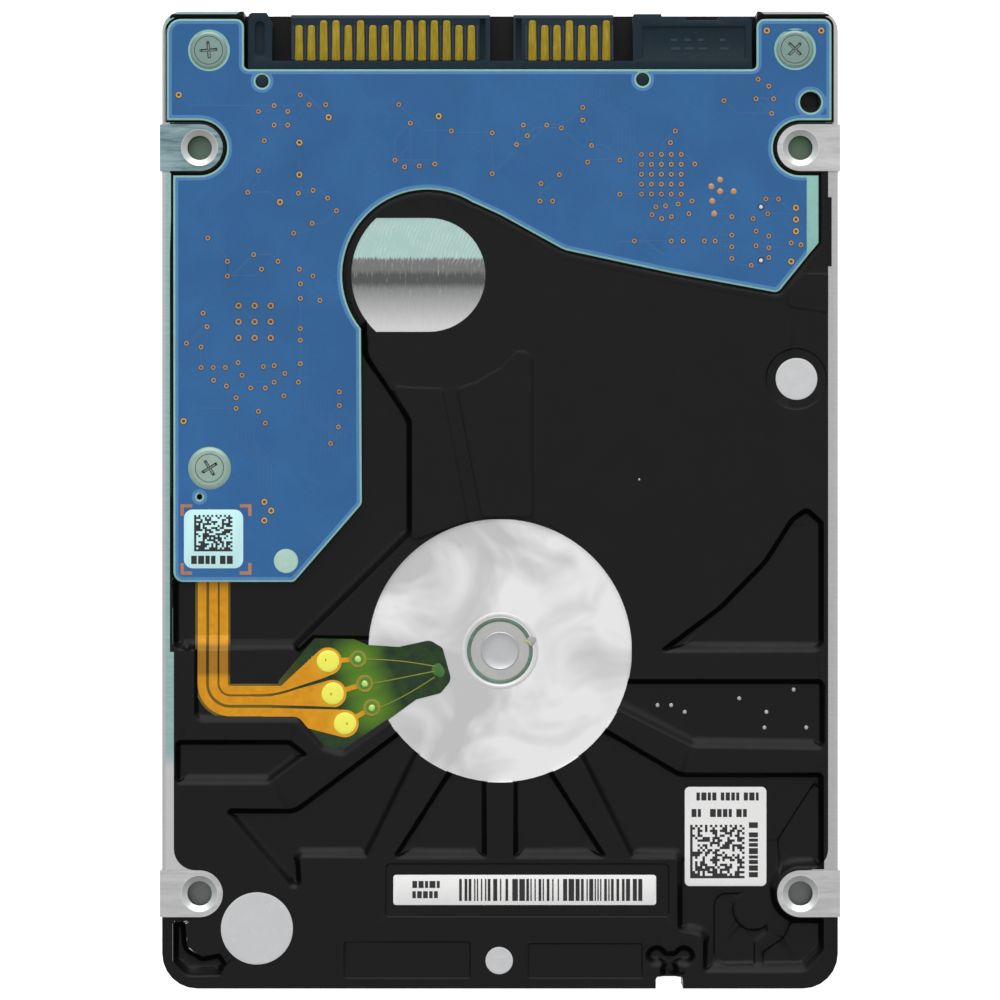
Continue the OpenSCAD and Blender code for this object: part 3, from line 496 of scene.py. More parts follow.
def weld(node):
    """Joins the split corners of a CAD mesh, so that the modifiers after it see closed solids."""
    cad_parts[node].modifiers.new("join", "WELD").merge_threshold = 1e-6


def split(node, angle):
    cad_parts[node].modifiers.new("crisp", "EDGE_SPLIT").split_angle = math.radians(angle)


def bevel(node, width):
    weld(node)
    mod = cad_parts[node].modifiers.new("edges", "BEVEL")
    mod.width = width * MM
    mod.segments = 2
    mod.limit_method = "ANGLE"
    mod.angle_limit = math.radians(40)
    mod.use_clamp_overlap = True
    split(node, 38)


# ---------- places ----------

Z_DECK = max(g[:, 2].min() for g in islands("foil_seals"))
Z_BED = corners("barcode_label")[0][2]
Z_MASK = Z_DECK + 0.022
Z_POCKET = corners("matrix_label")[0][2]
Z_BOARD = corners("circuit_board")[0][2]
Z_BOSS = corners("base_casting")[1][2]
Z_FACE = corners("motor_flex_film")[1][2] - 0.1
Z_BAY = corners("motor_flex_film")[0][2]
Z_RIB = Z_DECK + 0.1
Z_PIVOT = Z_DECK - 0.06
RAMP_FOOT, RAMP_TOP = -13.9, -15.5
RAMP_FOIL = min(islands("foil_seals"), key=lambda g: g[:, 2].min()).mean(0)[:2]
SPINDLE = middle("thrust_cap")[:2]
PIVOT = middle("pivot_shaft")[:2]
MOTOR_R = 13.5
HOLE_X, HOLE_FRONT, HOLE_REAR = 30.86, 36.175, -40.425
REAR = corners("base_casting")[0][1]
COAT = 0.02  # thickness of the black coat over the casting
PRINT = 0.01  # thickness of print and of the marks on the board


# ---------- casting ----------

LEFT_RAIL, LEFT_FOOT = -33.9, -33.5  # inner edge of the left rail, and of its wider rear part
RIGHT_RAIL, RIGHT_NECK = 33.7, 34.06  # inner edge of the right rail, and of its narrow part
NECK, RAIL_STEP, RAIL_END, FRONT_LAND = (24, 31.1), -15.6, HOLE_REAR - 2.4, 49.9
FILLET, STRIP_EDGES = 2.2, ((LEFT_FOOT, -1), (RIGHT_RAIL, 1))
MOUTH_R = 1.88


def fillet_centre(edge, side):
    return np.array([edge - side * FILLET, HOLE_REAR + 2.4 + FILLET])


def bare_strip(p):
    """The machined rails that the black coat leaves free, seen from above."""
    x, y = p[:, 0], p[:, 1]
    left = (x < LEFT_RAIL) | ((x < LEFT_FOOT) & (y < RAIL_STEP))
    right = (x > RIGHT_RAIL) & ((y < NECK[0]) | (y > NECK[1])) | (x > RIGHT_NECK)
    front = (y > FRONT_LAND) & ((x < -27) | (x > 28))
    bare = ((left | right) & (y > RAIL_END)) | front
    for edge, side in STRIP_EDGES:
        c = fillet_centre(edge, side)
        near = (side * (x - c[0]) > 0) & (y < c[1]) & (y > HOLE_REAR)
        bare |= near & (np.hypot(x - c[0], y - c[1]) > FILLET)
    return bare


def borders(*levels):
    """Outlines of the area that levels of the casting cover together, without the steps between them."""
    parts = [level_edges("base_casting", z) for z in levels]
    edges = np.concatenate(parts)
    along = edges[:, 1] - edges[:, 0]
    across = np.stack([-along[:, 1], along[:, 0]], 1) / np.maximum(np.hypot(*along.T), 1e-9)[:, None]
    sides = [np.any([inside(edges.mean(1) + s * across, part) for part in parts], axis=0) for s in (0.03, -0.03)]
    return edges[sides[0] != sides[1]]


def on_motor_rim(edges):
    return (abs(np.hypot(*(edges - SPINDLE).transpose(2, 0, 1)) - MOTOR_R) < 0.03).all(1)


def casting_coat():
    """Black coat that rounds the pockets of the deck, over every face that isn't machined."""
    levels = (Z_DECK, Z_RIB, Z_BED, Z_FACE, Z_POCKET, Z_BAY)
    outline = level_edges("base_casting", *levels)
    outline = outline[~on_motor_rim(outline)]
    ring = circle(SPINDLE, MOTOR_R + 0.02, 160)
    gx, gy = np.meshgrid(GX, GY)
    disc = np.hypot(gx - SPINDLE[0], gy - SPINDLE[1]) < MOTOR_R
    hard = filled(level_edges("base_casting", Z_BOARD)) | filled(level_edges("circuit_board", Z_DECK))
    height = np.full(hard.shape, Z_DECK)
    # the motor face and the notch in the rear edge have no slopes; each step down is shared by every level below
    # it, so a slope runs only where the floor really drops
    notch = (gy < REAR + 1.3) & (gx > 15.9) & (gx < 18.9)
    for lower, drop, width in (((Z_BAY,), 0.2, 0.26), ((Z_BAY, Z_POCKET), 0.3, 0.72),
                               ((Z_BAY, Z_POCKET, Z_FACE), Z_DECK - Z_FACE, 0.52)):
        area = hard | notch | disc
        for z in lower:
            area = area | filled(level_edges("base_casting", z))
        edges = borders(*lower)
        edges = edges[~on_motor_rim(edges)]
        x, y = edges.transpose(2, 0, 1)
        at_notch = ((y < REAR + 1.3) & (x > 15.5) & (x < 19.3)).all(1)
        depth = signed(edges[~at_notch], 1.8, area)
        # slopes that face the connector end are drawn out further
        lean = 1 + 1.2 * np.clip(np.gradient(depth, axis=0) / STEP, 0, 1)
        height -= drop * ease(depth / (width * lean))
    bed = borders(Z_BED)
    bed = bed[np.hypot(*(bed.mean(1) - RAMP_FOIL).T) > 1.5]
    height -= (Z_DECK - Z_BED) * ease(signed(bed, 0.5) / 0.2)
    height += 0.1 * ease(1 + signed(level_edges("base_casting", Z_RIB), 0.5) / 0.4)
    height += COAT
    # the coat rolls up into a low lip along the gap round the board
    gap = -signed(level_edges("circuit_board", Z_DECK), 1.6)
    lip = ease((1.15 - gap) / 0.5) * ease((gap - 0.3) / 0.35)
    height += 0.08 * lip * (height > Z_DECK + 0.01)
    # the flex climbs out of the bay on a ramp, and the coat stays below it
    left = corners("motor_flex_traces")[0][0]
    under = (gx > left - 0.4) & (gx < left + 3.6) & (gy > RAMP_TOP + 0.12) & (gy < RAMP_FOOT + 0.6)
    climb = Z_BAY + (Z_FACE - Z_BAY) * np.clip((RAMP_FOOT - gy) / (RAMP_FOOT - RAMP_TOP), 0, 1)
    height = np.where(under, np.minimum(height, climb - 0.03), height)
    lines = polylines(outline, 0.004) + [ring]
    for z, rises in ((Z_BAY, (0.035, 0.1)), (Z_POCKET, (0.035, 0.07, 0.16)), (Z_FACE, (0.03, 0.12)),
                     (Z_DECK, (-0.24, -0.13, -0.07, -0.03, 0.005, 0.03, 0.07, 0.11))):
        for rise in rises:
            lines += polylines(level_lines(height, z + rise))
    lines += [np.array(s, float) for s in (
        [(LEFT_RAIL, RAIL_STEP), (LEFT_RAIL, 49.6)], [(LEFT_RAIL, RAIL_STEP), (LEFT_FOOT, RAIL_STEP)],
        [(LEFT_FOOT, RAIL_STEP), (LEFT_FOOT, RAIL_END)], [(RIGHT_RAIL, NECK[0]), (RIGHT_RAIL, RAIL_END)],
        [(RIGHT_RAIL, NECK[0]), (RIGHT_NECK, NECK[0]), (RIGHT_NECK, NECK[1]), (RIGHT_RAIL, NECK[1])],
        [(RIGHT_RAIL, NECK[1]), (RIGHT_RAIL, 33.8)], [(-35, FRONT_LAND), (35, FRONT_LAND)])]
    for edge, side in STRIP_EDGES:
        turn = np.linspace(0, math.pi / 2, 9)
        lines.append(fillet_centre(edge, side) + FILLET * np.stack([side * np.cos(turn), -np.sin(turn)], 1))

    def keep(p):
        near_disc = np.hypot(*(p - SPINDLE).T) < MOTOR_R + 0.02
        return inside(p, outline) & ~near_disc & ~bare_strip(p)

    verts, faces = region(lines, keep, lambda p: at(height, p))
    n = Net("black_coat")
    color, rough, normal, shaded_sheen = coat_look(n)
    n.done(color, rough, 0.0, normal, Specular_IOR_Level=shaded_sheen)
    coat = piece("casting_coat", *closed_sheet(verts, faces, 0.014), n.mat, "casting_coat", 50)
    coat.modifiers.new("weighted", "WEIGHTED_NORMAL").keep_sharp = True


def coat_look(n):
    """Colour, gloss, bump and sheen of the black coat; slopes facing away from the light get painted shade."""
    grain, cloud = n.noise(9, 3, 0.6), n.noise(0.35, 4, 0.6, warp=0.6)
    color = n.mix(n.above(cloud, 0.3, 0.75), "09090a", "0d0d0e")
    color = n.mix(n.mul(n.above(grain, 0.66, 0.75), 0.4), color, "1a1a1b")
    rough = n.blend(n.above(cloud, 0.35, 0.7), 0.34, 0.42)
    # painted shade: slopes that turn away from the front light lose their sheen, for the shade on steep walls
    _, forward, up = n.normal("Normal")
    shade_slopes = n.mul(n.above(up, 0.985, 0.9), n.above(up, 0.05, 0.2), n.above(forward, 0.14, 0.02))
    normal = n.bump(n.add(grain, n.mul(cloud, 0.6)), 0.35, 0.012)
    return color, rough, normal, n.blend(shade_slopes, 0.2, 0.04)


def casting_material():
    """Machined aluminium where the tool has cut, black coat everywhere else."""
    n = Net("casting_metal")
    coat_color, coat_rough, coat_normal, shaded_sheen = coat_look(n)
    motor = n.mul(n.disc(SPINDLE, MOTOR_R + 0.03), n.above(n.z, Z_FACE - 0.3, Z_FACE - 0.28))
    pivot = n.mul(n.disc(PIVOT, 8.3), n.above(n.z, Z_PIVOT - 0.03, Z_PIVOT - 0.02),
                  n.above(n.z, Z_PIVOT + 0.03, Z_PIVOT + 0.02))
    boss = n.above(n.z, Z_DECK + 0.12, Z_DECK + 0.13)
    mouths = n.any(*[n.disc((s * HOLE_X, y), MOUTH_R) for s in (-1, 1) for y in (HOLE_FRONT, HOLE_REAR)])
    up = n.normal("True Normal")[2]
    from_middle = n.math("ABSOLUTE", n.x)
    uncoated = n.any(n.above(from_middle, 33.44, 33.46), n.above(n.y, 49.86, 49.88),
                     n.mul(n.above(from_middle, 31.2, 31.3), n.above(n.y, HOLE_REAR + 4.7, HOLE_REAR + 4.6)))
    top = n.mul(uncoated, n.above(up, 0.8, 0.9), n.above(n.z, Z_DECK - 0.03, Z_DECK - 0.02))
    side = n.mul(n.above(from_middle, 34.3, 34.4), n.above(n.y, HOLE_REAR - 2.44, HOLE_REAR - 2.36))
    bare = n.any(motor, pivot, boss, mouths, top, side)
    # turned arcs on the motor face, milled arcs on the pivot face, long cutter marks on the rails
    arcs = n.blend(pivot, n.distance(SPINDLE + (2.5, 5)), n.distance(PIVOT + (26, -6)))
    wave = n.math("SINE", n.add(n.mul(arcs, 17), n.mul(n.noise(1, 2, 0.5), 9)))
    cloud = n.noise(0.1, 3, 0.5, warp=0.8)
    streak = n.noise(2.4, 3, 0.6, (2.6, 0.3, 1))
    color = n.mix(n.above(cloud, 0.4, 0.6), "cececf", "f6f6f7")
    rail = n.mix(n.mul(n.above(n.y, -27.5, -26), n.above(n.x, 0, -1)), n.mix(n.above(n.x, 1, -1), "b7b7b7", "cbcbcb"),
                 "92bab8")
    worn = n.mul(n.above(n.noise(2, 3, 0.6, (0.6, 3, 1)), 0.4, 0.7), 0.3)
    color = n.mix(n.any(top, side), color, n.mix(worn, n.mix(side, rail, "babbbc"), "ced0d0"))
    # painted reflection: the pivot face is painted darker above a line and in bands, for the room's uneven
    # reflection;
    # the boss tops keep bands of the milling cutter
    y = n.add(n.y, n.mul(n.math("SUBTRACT", streak, 0.5), 1.1))
    pivot_marks_and_reflection = n.mix(n.above(y, 21.8, 17.8), "8a8b8b", "dadada")
    for low, high, tone in ((21.7, 22.3, "5e5f5f"), (23.1, 23.6, "7e7f7f"), (24.7, 24.95, "b2d2cc")):
        pivot_marks_and_reflection = n.mix(n.above(y, low, high), pivot_marks_and_reflection, tone)
    swirl = n.mul(n.above(wave, 0.0, 0.9), n.above(n.noise(0.8, 3, 0.6), 0.4, 0.6), n.above(n.y, 24, 25))
    pivot_marks_and_reflection = n.mix(n.mul(swirl, 0.55), pivot_marks_and_reflection, "d8e6e2")
    pivot_marks_and_reflection = n.mix(n.mul(n.above(streak, 0.6, 0.9), n.above(n.y, 24.6, 24)), pivot_marks_and_reflection, "cecfcf")
    color = n.mix(pivot, color, pivot_marks_and_reflection)
    bands = n.noise(1.1, 3, 0.6, (0.25, 1.6, 1), 0.4)
    plate = n.mix(n.above(bands, 0.35, 0.65), "607c84", "9ab4b8")
    plain = n.mix(n.above(bands, 0.3, 0.7), "bcbcbd", "d4d4d4")
    color = n.mix(boss, color, n.mix(n.mul(n.above(n.x, 0, -1), n.above(n.y, -1, 1)), plain, plate))
    color = n.mix(mouths, color, "ecf0ee")
    # painted shade and reflection: the bores below the chamfers are darker grey, green-tinted in the front holes as a
    # reflection
    deep = n.mul(mouths, n.above(n.z, Z_BOSS - 0.45, Z_BOSS - 0.5))
    color = n.mix(deep, color, n.mix(n.above(n.y, -1, 1), "767777", "687c6c"))
    rough = n.add(n.blend(cloud, 0.3, 0.46), n.mul(wave, 0.02))
    fine = n.noise(14, 2, 0.5, (1, 0.2, 1))
    normal = n.bump(n.add(n.mul(wave, n.above(cloud, 0.45, 0.6)), n.mul(fine, 1.2)), 0.25, 0.002)
    return n.done(n.mix(bare, coat_color, color), n.blend(bare, coat_rough, rough), n.mul(bare, 0.92),
                  n.mix(bare, coat_normal, normal), Specular_IOR_Level=n.blend(bare, shaded_sheen, 0.2))


def chamfer_cutter():
    """Cones that ease the mouths of the four mounting holes on the visible casting."""
    b = Build()
    for s in (-1, 1):
        for y in (HOLE_FRONT, HOLE_REAR):
            b.lathe((s * HOLE_X, y), Z_BOSS, [(0.001, -0.5), (1.25, -0.5), (1.26, -0.42), (1.85, 0), (1.95, 0.2)], 64)
    cutter = solid("mouth_cutter", b.verts, b.faces)
    cutter.hide_render = cutter.hide_viewport = True
    weld("base_casting")
    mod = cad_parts["base_casting"].modifiers.new("mouths", "BOOLEAN")
    mod.operation, mod.object, mod.solver = "DIFFERENCE", cutter, "EXACT"
    split("base_casting", 30)


def build_casting():
    casting_coat()
    chamfer_cutter()
    paint("base_casting", casting_material())
    dots = Build()
    for x, y in ((14.3, 2.1), (16.2, -21.1), (17.6, -21.1), (19, -21.8), (24.6, -20.4), (30.2, -19.5),
                 (27.4, -21.8), (27.2, -23.4), (31.5, -23.4)):
        z, r = (Z_DECK, 0.1) if y > 0 else (Z_POCKET, 0.2)
        dots.lathe((x, y), z, [(r * 1.3, 0), (r, 0.035), (r * 0.6, 0.05), (0.001, 0.055)], 14, wobble=0.03)
    dots.make("deck_pin_marks", finish("pin_metal", "bebebe", metal=0.9), slot="hub_aluminium")


# ---------- circuit board ----------

def board_materials():
    n = Net("solder_mask")
    cloud, fine = n.noise(0.12, 4, 0.55, warp=0.5), n.noise(2.2, 4, 0.6)
    color = n.mix(n.above(cloud, 0.3, 0.7), "215d94", "2968a2")
    rear = n.mul(n.above(n.y, 12, -8), n.above(n.x, -20, -32))
    color = n.mix(n.mul(rear, 0.5), color, "2e6eb2")
    color = n.mix(n.mul(n.above(fine, 0.55, 0.75), 0.25), color, "3a7ab2")
    mask = n.done(color, n.blend(cloud, 0.3, 0.42), 0.0, n.bump(fine, 0.3, 0.006), Specular_IOR_Level=0.35)
    margin = finish("mask_margin", "4884be", 0.9, 0, (0.3, 0.42), 5, patches=0.5)
    rim = finish("board_edge", "90c6bc", 0.85, 0, (0.4, 0.6), 6, patches=0.8)
    return mask, margin, rim


MASK_EDGE = 31.5  # right of this the board is bare
TEST_PAD = (-21.98, -6.26, 1.26)


def build_board():
    mask_mat, margin_mat, rim_mat = board_materials()
    depth = signed(level_edges("circuit_board", Z_DECK), 1.2)
    # bare rings under the screw heads, and the test pad
    openings = [(*g.mean(0)[:2], 2.15) for g in islands("board_screws_flat")]
    openings += [(*middle("board_screw_pan")[:2], 2.2), TEST_PAD]
    lines = polylines(level_lines(depth, 0.2), 0.01) + [circle(o, o[2]) for o in openings]
    lines += polylines(level_lines(depth, 0.5), 0.01) + [np.array([(MASK_EDGE, 24.0), (MASK_EDGE, 36.0)])]

    def keep(p):
        clear = (at(depth, p) > 0.19) & ~((p[:, 0] > MASK_EDGE) & (p[:, 1] < 35))
        for x, y, r in openings:
            clear &= np.hypot(p[:, 0] - x, p[:, 1] - y) > r * 0.995
        return clear

    verts, faces = region(lines, keep, lambda p: np.full(len(p), Z_MASK))
    sheet = closed_sheet(verts, faces, 0.018)
    mask = piece("board_mask", *sheet, [mask_mat, margin_mat], slot="board_mask")
    outer = at(depth, np.array([sheet[0][list(f)][:, :2].mean(0) for f in sheet[1]])) < 0.5
    mask.data.polygons.foreach_set("material_index", outer.astype(int).tolist())
    paint("circuit_board", rim_mat)
    vias_and_pads()
    board_traces(depth)


def vias_and_pads():
    copper, hole_shade, gold, tin, white, corner, shade_ring, amber = range(8)
    looks = finishes(("via_copper", "c09668", 0.75, 0.1, (0.35, 0.5), 4),
                     ("via_hole_shade", "4a2622", 0.7, 0, (0.4, 0.6), 4),
                     ("orange_pad", "ce9864", 0.85, 0.2, (0.3, 0.4), 3),
                     ("test_pad_tin", "baded0", 0.9, 0.6, (0.35, 0.5), 2),
                     ("fiducial_white", "e1ebe6", 0.9, 0.3, (0.35, 0.5), 3),
                     ("corner_copper", "be825c", 0.8, 0.2, (0.35, 0.5), 3),
                     ("via_shade_ring", "224870", 0.8, 0, (0.35, 0.5), 4),
                     ("via_amber", "d6ac54", 0.8, 0.1, (0.35, 0.5), 4))
    b, z = Build(), Z_MASK
    larger = ((-33, 41.6), (-17.6, 39.3), (-20.5, 36.9), (-20.6, 33.4), (-22.6, 30.6), (-6.3, 39.5), (27.4, 48.2),
              (33, 48.2), (30.4, 30), (30.4, 28.8), (30.4, 27.6), (29.9, 24.5), (-32.5, 8.1), (-24.2, -0.2),
              (-23.5, -1.1), (-24.2, -2.1))
    filled_in = ((22.6, 32.9), (21.7, 32.2), (22.6, 31.7), (24, 31.7), (21.8, 30.7), (22, 29.4))
    for g in islands("board_vias"):
        c, r = g.mean(0)[:2], (g[:, 0].max() - g[:, 0].min()) / 2
        if min(math.dist(c, s) for s in filled_in) < 0.45:
            b.lathe(c, z, [(r, 0), (r * 0.9, 0.018), (0.001, 0.022)], 18, gold, 0.02)
            continue
        big = min(math.dist(c, s) for s in larger) < 0.5
        r *= 1.25 if big else 1.0
        # painted shade: a darker blue ring round the via, where shade falls at its edge
        b.lathe(c, z, [(r * 1.12, 0.001), (r * 1.08, 0.004), (r * 0.8, 0.005)], 18, shade_ring, 0.02, False)
        b.lathe(c, z, [(r * 0.86, -0.01), (r * 0.82, 0.012), (r * 0.46, 0.014), (r * 0.42, 0.002)], 18,
                amber if big else copper, 0.015, False)
        # painted shade: a dark red disc fills the via's hole, in place of the shade down it
        b.lathe(c, z, [(r * 0.44, 0.004), (r * 0.25, 0.003), (0.001, 0.002)], 12, hole_shade)
    for p in ((26.8, 30.1), (26.8, 24.6)):
        # painted shade ring round the fiducial
        b.lathe(p, z, [(0.4, -0.01), (0.38, 0.006), (0.001, 0.007)], 20, shade_ring)
        b.lathe(p, z, [(0.2, 0.004), (0.18, 0.012), (0.001, 0.014)], 16, white)
    b.lathe(TEST_PAD, z, [(TEST_PAD[2] - 0.02, -0.03), (1.22, -0.002), (1.1, 0.004), (0.001, 0.006)], 40, tin, 0.004)
    lo, hi = corners("board_label")
    for sx, x in ((1, lo[0] - 0.35), (-1, hi[0] + 0.85)):
        for sy, y in ((1, lo[1] - 0.65), (-1, hi[1] + 0.55)):
            for wide, high, top in ((1.2, 0.34, 0.012), (0.34, 1.2, 0.0125)):
                x2, y2 = x + sx * wide, y + sy * high
                b.bar(min(x, x2), min(y, y2), max(x, x2), max(y, y2), z - 0.01, z + top, corner)
    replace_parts(b.make("board_pads", looks, slot="via_copper"), "board_vias")


def board_traces(depth):
    """Copper tracks that show faintly under the mask: runs in 45 degree steps between vias, and small bus groups."""
    centres = [g.mean(0)[:2] for g in islands("board_vias")]
    b = Build()

    def run(points, width):
        path = [np.array(points[0], float)]
        for q in points[1:]:
            start, q = path[-1], np.array(q, float)
            count = max(2, int(np.hypot(*(q - start)) / 0.6))
            path += [start + (q - start) * k / count for k in range(1, count + 1)]
        path = np.array(path)
        if (at(depth, path) > 0.5).all():
            b.strip(thin_out(path, 0.002), width, Z_MASK - 0.002, Z_MASK + 0.004)

    for c in centres:
        near = sorted(range(len(centres)), key=lambda k: np.hypot(*(centres[k] - c)))
        other = centres[near[int(rng.integers(1, 5))]]
        d = other - c
        run([c, c + np.sign(d) * min(abs(d)), other], float(rng.uniform(0.1, 0.2)))
    for x, y, n, length, dx, dy in ((-20.5, 9.2, 7, 4.6, 1, -1), (-31, 30, 5, 6, 1, 1), (-12, 33, 6, 5, -1, -1),
                                    (9, 41, 6, 6, 1, -1), (20, 29, 5, 4, 1, -1), (-27, 6, 5, 5, 1, -1)):
        for k in range(n):
            start = np.array([x + 0.42 * k, y])
            bend = start + np.array([dx, dy]) * length * 0.45
            run([start + (0, -dy * 1.2), start, bend, bend + (0, dy * length * 0.5)], 0.13)
    run([(-31.2, 37), (-28, 33.8), (-24, 33.8), (-18.6, 28.4)], 0.35)
    run([(12, 26.5), (15, 26.5), (17, 25)], 0.25)
    b.make("board_traces", finish("track_mask", "26639b", 0.94, 0, (0.3, 0.4), 2), slot="board_mask", angle=60)


# ---------- screws, foils, bearing ----------

def build_screw_marks():
    """Shadowed floor of the cross recesses and the turned ring on the screw heads."""
    b = Build()
    flat = sorted(islands("board_screws_flat"), key=lambda g: g[:, 0].mean())
    for g, turn, crown in (*zip(flat, (5, 45), (0.18, 0.18)), (islands("board_screw_pan")[0], 32, 0.19)):
        c, top = (g[:, :2].min(0) + g[:, :2].max(0)) / 2, Z_DECK + crown
        for a in (turn, turn + 90):
            u = np.array([math.cos(math.radians(a)), math.sin(math.radians(a))])
            v = np.array([-u[1], u[0]])
            for half, wide, lift, slot in ((0.94, 0.155, 0.004, 0), (0.72, 0.07, 0.012, 1)):
                ring = [c + u * half * i + v * wide * j for i, j in ((-1, -1), (1, -1), (1, 1), (-1, 1))]
                b.slab(ring, top - 0.3, top - 0.3 + lift, slot)
        b.lathe(c, top, [(1.5, -0.05), (1.47, -0.022), (1.42, -0.022), (1.39, -0.05)], 48, cap=False)
    looks = finishes(("recess_shadow", "3a4c4a", 0.8, 0.3, (0.4, 0.55), 4),
                     ("recess_floor", "96aca4", 0.85, 0.5, (0.35, 0.5), 4))
    b.make("screw_recesses", looks, slot="board_screw_steel")


def build_foils():
    """Aluminium seal discs, dished a little over the wells below them and lifted at the rim."""
    b = Build()
    for g in islands("foil_seals"):
        c, r, z = g.mean(0)[:2], (g[:, 0].max() - g[:, 0].min()) / 2, g[:, 2].min()
        dish = [(r * f, 0.055 + 0.003 * math.sin(9 * f) - 0.006 * (1 - f) ** 2)
                for f in (0.97, 0.9, 0.8, 0.7, 0.6, 0.5, 0.4, 0.3, 0.2, 0.1, 0.001)]
        b.lathe(c, z, [(r, 0.02), (r, 0.045)] + dish, 64, 0, 0.003)
    foil = finish("foil", "d3d4d5", 0.96, 0.55, (0.42, 0.55), 0.9, 0.012)
    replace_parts(b.make("foil_discs", foil, slot="foil"), "foil_seals")


def build_bearing():
    glue, drop, tab = range(3)
    looks = [finish("bearing_glue", "688a74", 0.6, 0, (0.2, 0.4), 2.5, coat=0.3, patches=0.6),
             finish("glue_drop", "ced696", 0.85, 0, (0.2, 0.35), 2, coat=0.4),
             finish("glue_tab", "b0b0ac", 0.9, 0, (0.25, 0.4), 2, coat=0.3)]
    b, n, across = Build(), 120, 5
    verts, faces = [], []
    for k in range(n):
        a = 2 * math.pi * k / n
        w = 0.05 * math.sin(3 * a + 1) + 0.03 * math.sin(7 * a)
        for f in range(across):
            r = 3.0 + (0.44 + w) * f / 4
            verts.append((SPINDLE[0] + r * math.cos(a), SPINDLE[1] + r * math.sin(a),
                          Z_FACE - 0.07 + 0.06 * math.sin(math.pi * f / 4) + 0.02 * math.sin(5 * a)))
            if f:
                p, q = k * across + f - 1, (k + 1) % n * across + f - 1
                faces.append((p, p + 1, q + 1, q))
    b.add(verts, faces, glue)
    b.lathe(SPINDLE + (3.25, 1.05), Z_FACE, [(0.5, 0), (0.44, 0.04), (0.25, 0.07), (0.001, 0.08)], 24, tab, 0.06)
    for x, y, r in ((2.6, 0.98, 0.12), (2.85, 0.95, 0.13), (3.05, 0.82, 0.13), (3.15, 0.62, 0.12)):
        b.lathe(SPINDLE + (x, y), Z_FACE, [(r, 0.03), (r * 0.7, 0.1), (0.001, 0.12)], 14, drop, 0.08)
    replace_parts(b.make("bearing_glue_bead", looks, slot="glue"), "bearing_glue")
    for name, profile, n, look, slot in (
            ("bearing_lip", [(3.95, 0), (3.8, 0.035), (3.6, 0.04), (3.46, -0.02), (3.44, -0.2)], 120,
             ("lip_metal", "e2e2e3", 0.92, 0.9, (0.28, 0.4), 2), "hub_aluminium"),
            ("thrust_cap_face", [(1.98, -0.2), (1.96, -0.12), (1.86, -0.09), (1.78, -0.13), (0.9, -0.15),
                                 (0.001, -0.15)], 96,
             ("cap_metal", "c8c9ca", 0.95, 0.85, (0.3, 0.42), 1.5), "thrust_steel")):
        b = Build()
        b.lathe(SPINDLE, Z_FACE, profile, n, cap=name != "bearing_lip")
        b.make(name, finish(*look), slot=slot)


# ---------- labels ----------

def dash_row(b, x0, x1, y, h, z, swap=False, word=(2, 4)):
    """A row of short marks in place of print."""
    x = x0
    while x < x1 - 0.25:
        for _ in range(int(rng.integers(*word))):
            w = min(float(rng.uniform(0.3, 0.62)), x1 - x)
            if w > 0.2:
                b.bar(x, y, x + w, y + h, z, z + PRINT, swap=swap)
            x += w + 0.14
        x += 0.32


def matrix(b, x0, y0, x1, y1, z, n):
    """A random field of squares with two solid sides."""
    cell = np.array([(x1 - x0) / n, (y1 - y0) / n])
    on = rng.random((n, n)) < 0.52
    on[0, :] = on[:, 0] = True
    on[-1, :] = on[:, -1] = np.arange(n) % 2 == 0
    for j in range(n):
        ends = np.flatnonzero(np.diff(np.r_[0, on[j], 0]))  # a run of squares is one bar
        for i, k in zip(ends[::2], ends[1::2]):
            b.bar(x0 + i * cell[0], y0 + j * cell[1], x0 + k * cell[0], y0 + (j + 1) * cell[1], z, z + PRINT)


def build_labels():
    ink = finish("label_ink", "222122", 0.8, 0, (0.5, 0.7), 6)
    paper = finish("label_paper", "f3f3f2", 0.97, 0, (0.5, 0.62), 5, relief=0.006)
    for node in ("barcode_label", "matrix_label", "cover_label"):
        paint(node, paper)
    paint("board_label", finish("board_label_paper", "d0feff", 0.97, 0, (0.45, 0.55), 5, relief=0.006))
    gap = 0.001  # the print floats this far over the paper

    lo, hi = corners("barcode_label")
    b, z = Build(), hi[2] + gap
    x, end = -4.2, 14.45
    while x < end:
        w = float(rng.choice([0.14, 0.28, 0.42, 0.58], p=[0.42, 0.3, 0.18, 0.1]))
        b.bar(x, lo[1] + 0.42, x + w, hi[1] - 0.42, z, z + PRINT)
        x += w + float(rng.choice([0.14, 0.28, 0.42], p=[0.5, 0.35, 0.15]))
    for y in (lo[1] + 1.75, lo[1] + 0.7):
        dash_row(b, -9.0, -6.0, y, 0.72, z, word=(4, 6))
    b.make("barcode_print", ink, slot="paper_label")

    b, z = Build(), corners("matrix_label")[1][2] + gap
    matrix(b, 19.55, -38.9, 25.15, -33.4, z, 22)
    for x0, x1, y in ((20.2, 26.6, -30.9), (19.7, 20.9, -32.6), (21.6, 25.6, -32.6)):
        dash_row(b, x0, x1, y, 0.82, z, word=(3, 5))
    dash_row(b, -38.8, -33.0, 25.6, 0.92, z, swap=True, word=(8, 9))
    b.make("matrix_print", ink, slot="paper_label")

    lo, hi = corners("board_label")
    b, z = Build(), hi[2] + gap
    matrix(b, lo[0] + 1.05, lo[1] + 1.75, hi[0] - 1.1, hi[1] - 0.55, z, 18)
    dash_row(b, lo[0] + 0.75, hi[0] - 0.75, lo[1] + 0.45, 0.85, z, word=(4, 5))
    b.make("board_label_print", ink, slot="board_label_film")

    lo, hi = corners("cover_label")
    b, z = Build(), lo[2] - PRINT - gap
    for k in range(9):
        dash_row(b, lo[0] + 6, hi[0] - 6, lo[1] + 8 + 3.1 * k, 1.1, z, word=(3, 7))
    matrix(b, hi[0] - 20, hi[1] - 26, hi[0] - 8, hi[1] - 14, z, 18)
    b.make("cover_label_print", ink, slot="label_film")


# ---------- motor flex ----------

